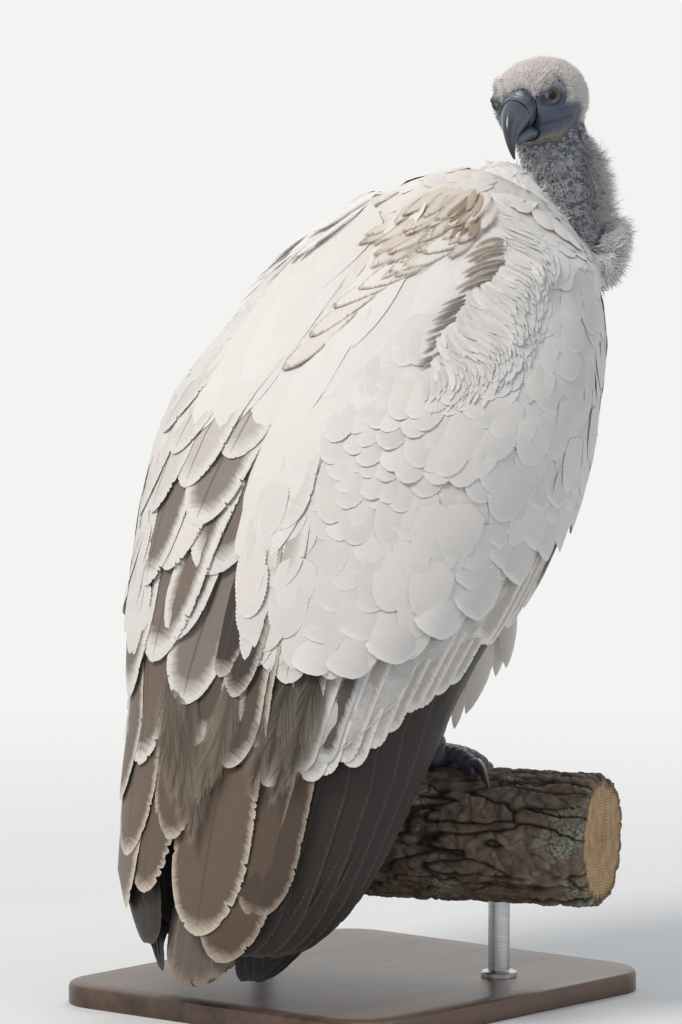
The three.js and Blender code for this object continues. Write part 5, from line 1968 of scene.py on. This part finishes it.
def make_bill():
    points, faces, place = bill_form(UPPER_BILL, CERE_END - 0.06, 7, steps=64, around=40, power=1.85,
                                     floor_share=0.92)
    tip = ease((-points[:, 1] - 66) / 14)[:, None]
    hue = np.append(mix(1.0, np.array([0.42, 0.42, 0.44]), tip), np.ones(tip.shape), 1)
    horn = horn_look("bill_horn", srgb(38, 44, 56), srgb(76, 84, 100), roughness=0.26)
    points[:, 0] *= np.where(place[:, 0] > 0.5, 1.03, 1.0)
    solid("upper_bill", from_head(points), faces, horn, "bill_horn", "bill_upper", place, hue)

    points, faces, place = bill_form(UPPER_BILL, 0, CERE_END, steps=40, around=64, power=1.95,
                                     floor_share=0.95, grow=0.5)
    nostril = np.zeros(len(points))
    for side in (LEFT, RIGHT):
        aside = side * points[:, 0]
        forward = -points[:, 1] - NOSTRIL[0] + 0.35 * (points[:, 2] - 9)
        slit = bell(forward / 1.7, (points[:, 2] - NOSTRIL[1]) / 5.0) * (aside > 5)
        nostril = np.maximum(nostril, slit)
    rim = bell((nostril - 0.35) / 0.15)
    centre = np.stack([np.zeros(len(points)), points[:, 1], np.full(len(points), 4.5)], -1)
    outwards = unit(points - centre)
    wrinkle = np.array([noise.noise(Vector((p[0] / 5, p[1] / 2.2, p[2] / 5))) for p in points])
    points = points + outwards * (0.5 * rim - 3.4 * ease((nostril - 0.3) / 0.5) + 0.3 * wrinkle)[:, None]
    shade = (1 - 0.93 * ease((nostril - 0.25) / 0.4))[:, None]
    hue = np.append(shade.repeat(3, 1), np.ones(shade.shape), 1)
    cere = horn_look("cere", srgb(50, 57, 72), srgb(80, 90, 108), roughness=0.38)
    solid("cere_skin", from_head(points), faces, cere, "cere", "cere", place, hue)

    points, faces, place = bill_form(LOWER_BILL, 0, 4, steps=40, around=32, power=2.0, floor_share=1.0)
    line = LOWER_BILL(0)[1] + 8.5
    points[:, 2] = line + (points[:, 2] - line) * LOWER_LOW + 2.4 * ease((-points[:, 1] - 36) / 14)
    points[:, 0] *= mix(0.99, 0.92, ease((-points[:, 1] - 34) / 20))
    # the lower bill's horn is paler than the upper's: partly the cere's slate, and partly painted light that
    # lifts the shade under the upper bill
    solid("lower_bill", from_head(points), faces, horn, "bill_horn", "bill_lower", place,
          (1.25, 1.3, 1.34, 1))


def make_eyes():
    look = eye_look()
    rings, around = 40, 48
    for side, name in SIDES:
        out = unit([side * GAZE[0], GAZE[1], GAZE[2]])
        forward = unit(np.array([0, -1, 0]) + out * out[1])
        up = np.cross(out, forward)
        t = np.linspace(0, 1, rings)
        polar, a = np.pi * t, circle(around)
        bulge = (EYE_RADIUS + 0.9 * ease((0.3 - t) / 0.2))[:, None, None]
        ring = np.cos(a)[None, :, None] * forward + np.sin(a)[None, :, None] * up
        ball = np.sin(polar)[:, None, None] * ring + np.cos(polar)[:, None, None] * out
        points, faces = closed_grid(ball * bulge + HEAD_EYE * [side, 1, 1])
        place = np.stack(np.broadcast_arrays(a / (2 * np.pi), (polar / 1.35)[:, None]), -1).reshape(-1, 2)
        piece(f"eyeball_{name}", from_head(points), faces, look, "eye", [f"eye_{name}"], {"vane": place})


def log_place(p):
    """A place's distance along the log, and its angle round the log from the top."""
    return p @ LOG_ALONG, np.arctan2(-(p @ LOG_ACROSS), p[2] + LOG_RADIUS)


def log_point(along, angle, height):
    along, angle, height = np.broadcast_arrays(along, angle, height)
    return (along[..., None] * LOG_ALONG - (height * np.sin(angle))[..., None] * LOG_ACROSS
            + np.stack([0 * along, 0 * along, height * np.cos(angle) - LOG_RADIUS], -1))


TOE_RADIUS = (8.0, 9.0, 8.6, 7.6)
TOE_SCUTES = (7, 10, 6, 5)
ANKLE_APART = 50


PEBBLE = 0.3  # how far the pebbles round a toe or shank lie under its form
SCUTE_FRONT = 0.25  # where the scutes lie round a tube, as a share of a turn


def scutes(form, core, number, cells, raised, groove, pebbled, paint):
    """Broad scutes down the front of a toe or shank, with seams between them, and pebbles on the rest. core
    is the middle line at each point, and paint is how pale a seam is."""
    points, faces, place = form
    along = place[:, 1]
    front = bell((place[:, 0] - SCUTE_FRONT) / 0.17)
    seam = 1 - np.abs(np.sin(np.pi * number * along))
    grains = np.array([noise.cell(Vector((r * cells[0], s * cells[1], cells[2]))) for r, s in place])
    rise = front * (raised - groove * ease((seam - 0.55) / 0.4)) + (1 - front) * (pebbled * grains - PEBBLE)
    points = points + unit(points - core) * rise[:, None]
    alpha = paint * front * ease((seam - 0.62) / 0.3) + 0.15 * (1 - front)
    return points, faces, place, np.column_stack([np.ones((len(points), 3)), alpha])


def make_feet():
    """Scaly toes from the ankle to each claw, the shank above them, and the claws."""
    scales = scale_look()
    horn = horn_look("claws", srgb(24, 24, 26), srgb(58, 58, 60), roughness=0.28)
    steps = 44
    for side, name in SIDES:
        ankle = side * ANKLE_APART
        heel = log_point(ankle, 0.0, LOG_RADIUS + 8)
        parts = []
        for toe in range(4):
            node = f"claw_{name}_{toe + 1}"
            form, _, _ = node_form(node)
            order = np.argsort(np.linalg.norm(form - heel, axis=1))
            base, tip = form[order[:5]].mean(0), form[order[-1]]
            along, angle = log_place(base)
            t = np.linspace(0, 1, steps)
            thick = TOE_RADIUS[toe] * (1 - 0.24 * t)
            knuckle = np.sin(np.pi * np.minimum(1, t * 1.3))
            turn = t**2 if toe == 2 else t
            line = mix(ankle, along, t), angle * turn
            centres = log_point(*line, LOG_RADIUS + 0.82 * thick + 2.0 * knuckle)
            ups = unit(log_point(*line, LOG_RADIUS + 60) - centres)
            pads = 0.7 * np.cos(4 * np.pi * t)
            form = tube(centres, ups, thick + pads, thick + 0.5 * pads, around=28, power=2.0,
                        floor_share=0.82)
            core = centres[np.interp(form[2][:, 1], t, np.arange(steps)).astype(int)]
            number = TOE_SCUTES[toe]
            parts.append(scutes(form, core, number, (16, number * 2.2, toe), 1.0, 2.1, 0.7, 0.85))
            claw_line(f"talon_{name}_{toe + 1}", base, tip, ups[-1], horn, node)
        ball, faces, place = round_pad(heel, 14.5, 0.8)
        parts.append((ball, faces, place, np.tile([1, 1, 1, 0.1], (len(ball), 1))))
        start = np.cumsum([0] + [len(part[0]) for part in parts])
        faces = np.concatenate([part[1] + first for part, first in zip(parts, start)])
        points, place, hue = (np.concatenate([part[i] for part in parts]) for i in (0, 2, 3))
        solid(f"toes_{name}", points, triangles(faces), scales, "leg_scales", f"foot_{name}", place, hue)
        make_shank(name, side, scales)


def round_pad(centre, radius, flat):
    t = np.linspace(0.02, 0.98, 18)
    polar = np.pi * t
    centres = centre + np.stack([0 * t, 0 * t, radius * flat * np.cos(polar)], -1)
    wide = radius * np.sin(polar)
    return tube(centres, np.tile([0.0, 1.0, 0.0], (len(t), 1)), wide, wide, around=28)


def claw_line(name, base, tip, up, look, node):
    """One claw: a tapering curve from the toe's end to the CAD claw's tip, arched over the log."""
    t = np.linspace(-0.12, 1, 22)[:, None]
    bow = base + (tip - base) * 0.5 + up * 6.5
    s = np.clip(t, 0, 1)
    centres = (1 - s) ** 2 * base + 2 * s * (1 - s) * bow + s**2 * tip + np.minimum(t, 0) * (bow - base)
    thick = 5.6 * (1 - s[:, 0]) ** 0.75 + 0.35
    points, faces, place = tube(centres, np.tile(up, (22, 1)), thick * 0.85, thick, around=18)
    solid(name, points, triangles(faces), look, "claw", node, place)


def make_shank(name, side, look):
    form, _, _ = node_form(f"tarsus_{name}")
    height = form[:, 2]
    bottom, top = form[height < height.min() + 10].mean(0), form[height > height.max() - 10].mean(0)
    t = np.linspace(-0.12, 1.1, 60)[:, None]
    bow = np.sin(np.pi * np.clip(t, 0, 1))
    centres = mix(bottom, top, t) + np.array([0, 2.5, 0]) * bow
    thick = 9.2 - 1.5 * bow[:, 0]
    form = tube(centres, np.tile([0.0, -1.0, 0.0], (60, 1)), thick, thick, around=30)
    core = centres[(form[2][:, 1] * 59).astype(int)]
    points, faces, place, hue = scutes(form, core, 9, (14, 22, side), 0.8, 1.7, 0.6, 0.8)
    solid(f"shank_{name}", points, triangles(faces), look, "leg_scales", f"tarsus_{name}", place, hue)


# ---------------------------------------------------------------- perch and stand
def make_log():
    """Bark in long furrowed plates on the log, and two clean cut ends with rings and cracks."""
    reach = np.abs(node_form("perch_log")[0] @ LOG_ALONG).max()
    steps, around, end_steps = 300, 320, 26
    along = np.linspace(-reach, reach, steps)
    angle = circle(around)
    radius, depth = np.empty((2, steps, around))
    for i, x in enumerate(along):
        for j, a in enumerate(angle):
            c, d = math.cos(a), math.sin(a)
            warp = noise.noise_vector(Vector((x / 40, 2.2 * c, 2.2 * d))) * 0.55
            warp += noise.noise_vector(Vector((x / 13, 6 * c, 6 * d))) * 0.16
            long_crack = abs(noise.noise(Vector((x / 62, 4.6 * c, 4.6 * d)) + warp))
            cross_crack = abs(noise.noise(Vector((x / 17 + 9, 3.4 * c, 3.4 * d)) + warp * 1.4))
            plate = min(1.0, long_crack * 5.2)
            piece_of = min(1.0, cross_crack * 6.5)
            scales = noise.fractal(Vector((x / 11, 8 * c, 8 * d)), 0.7, 2.1, 4)
            lump = noise.noise(Vector((x / 90, 1.4 * c, 1.4 * d)))
            depth[i, j] = plate * (0.45 + 0.55 * piece_of)
            low = 4.4 * (1 - plate) ** 1.3 + 1.9 * (1 - piece_of) ** 1.5
            radius[i, j] = LOG_RADIUS - 0.6 - low + 1.5 * scales + 1.6 * lump
    chamfer = 3.0 * (1 - ease((reach - np.abs(along)) / 4))
    radius -= chamfer[:, None]
    top = np.maximum(0, np.cos(angle)) ** 6
    radius = np.minimum(radius, mix(LOG_RADIUS + 2.0, LOG_RADIUS - 0.3, top)[None])
    shell = log_point(along[:, None], angle[None], radius)
    ends, end_places = [], []
    for end, x in ((0, -reach), (-1, reach)):
        for share in np.linspace(0.98, 0.0, end_steps):
            dots = [Vector((3 * math.cos(a), 3 * math.sin(a), share * 2 + end)) for a in angle]
            crack = np.array([noise.noise(dot) for dot in dots])
            dip = 0.2 * np.sin(share * 60) + 1.2 * np.maximum(0, crack - 0.25) * share
            ends.append(log_point(x - np.sign(x) * (0.4 + dip), angle, radius[end] * share))
            end_places.append(np.stack([np.full(around, share), angle / 6.283], -1))
    side_place = np.stack(np.broadcast_arrays(along[:, None] / 400, angle / 6.283), -1)
    near, far = slice(end_steps - 1, None, -1), slice(end_steps, None)
    place = np.stack([*end_places[near], *side_place, *end_places[far]]).reshape(-1, 2)
    cut = np.ones((end_steps, around))
    is_end = np.concatenate([cut, np.zeros((steps, around)), cut]).ravel()
    deep = np.concatenate([cut, depth, cut]).ravel()
    points, faces = closed_grid(np.stack([*ends[near], *shell, *ends[far]]))
    hue = np.column_stack([is_end, is_end, is_end, deep])
    solid("log", points, triangles(faces), bark_look(), "bark", "perch_log", place, hue)


def make_stand():
    """A base with a rounded top edge, and two rods with a collar each, on the CAD's places."""
    (low, high), wood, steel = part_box("stand_base"), wood_look(), steel_look()
    form = bmesh.new()
    form.from_mesh(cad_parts["stand_base"].data)
    bmesh.ops.remove_doubles(form, verts=form.verts, dist=1e-6)
    points = to_bird([v.co for v in form.verts])
    form.free()
    bottom = points[:, 2].min()
    outline_points = points[points[:, 2] < bottom + 1][:, :2]
    centre = outline_points.mean(0)
    half = (outline_points.max(0) - outline_points.min(0)) / 2
    corner, bevel, around = 40.0, 4.0, 240
    quarter = np.stack([np.cos(circle(around)), np.sin(circle(around))], -1)
    rim = centre + np.sign(quarter) * (half - corner) + quarter * corner
    height = (high.z - low.z) / MM
    slight = bevel * 0.3
    edges = ((slight, 0), (0, slight), (0, height - bevel), (slight, height - slight), (bevel, height))
    rings = [(rim - unit(rim - centre) * inwards, up) for inwards, up in edges]
    rings += [(centre + (rings[-1][0] - centre) * share, height) for share in (0.9, 0.6, 0.3, 0.0)]
    under = [(centre + (rings[0][0] - centre) * share, 0) for share in (0.0, 0.5)]
    points, faces = closed_grid(
        np.stack([np.column_stack([ring, np.full(around, bottom + up)]) for ring, up in under + rings]))
    base = piece("stand_plinth", points, faces, wood, "stand_wood", ["stand_base"])
    flat_sides(base)
    top, around = bottom + height, 64
    round_it = np.stack([np.cos(circle(around)), np.sin(circle(around)), np.zeros(around)], -1)
    for name in ("left", "right"):
        rod_low, rod_high = (to_bird(c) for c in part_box(f"stand_rod_{name}"))
        radius = (rod_high[0] - rod_low[0]) / 2
        x, y = (rod_low[:2] + rod_high[:2]) / 2
        tall = rod_high[2] - top
        profile = [(0.2, 0), (radius + 6, 0), (radius + 6, 3.4), (radius + 5, 4.4), (radius + 0.6, 4.6),
                   (radius, 5.2), (radius, tall - 1.0), (0.2, tall - 0.4)]
        rings = np.stack([[x, y, top + 0.3 + up] + wide * round_it for wide, up in profile])
        points, faces = closed_grid(rings)
        flat_sides(piece(f"stand_post_{name}", points, faces, steel, "stand_steel", [f"stand_rod_{name}"]))


def flat_sides(obj):
    """Keeps the edges between flat and upright faces crisp."""
    obj.data.set_sharp_from_angle(angle=math.radians(35))


bpy.context.scene.view_settings.view_transform = "Standard"
make_camera()
make_studio()
make_floor()
make_coat()
make_bill()
make_eyes()
make_feet()
make_log()
make_stand()
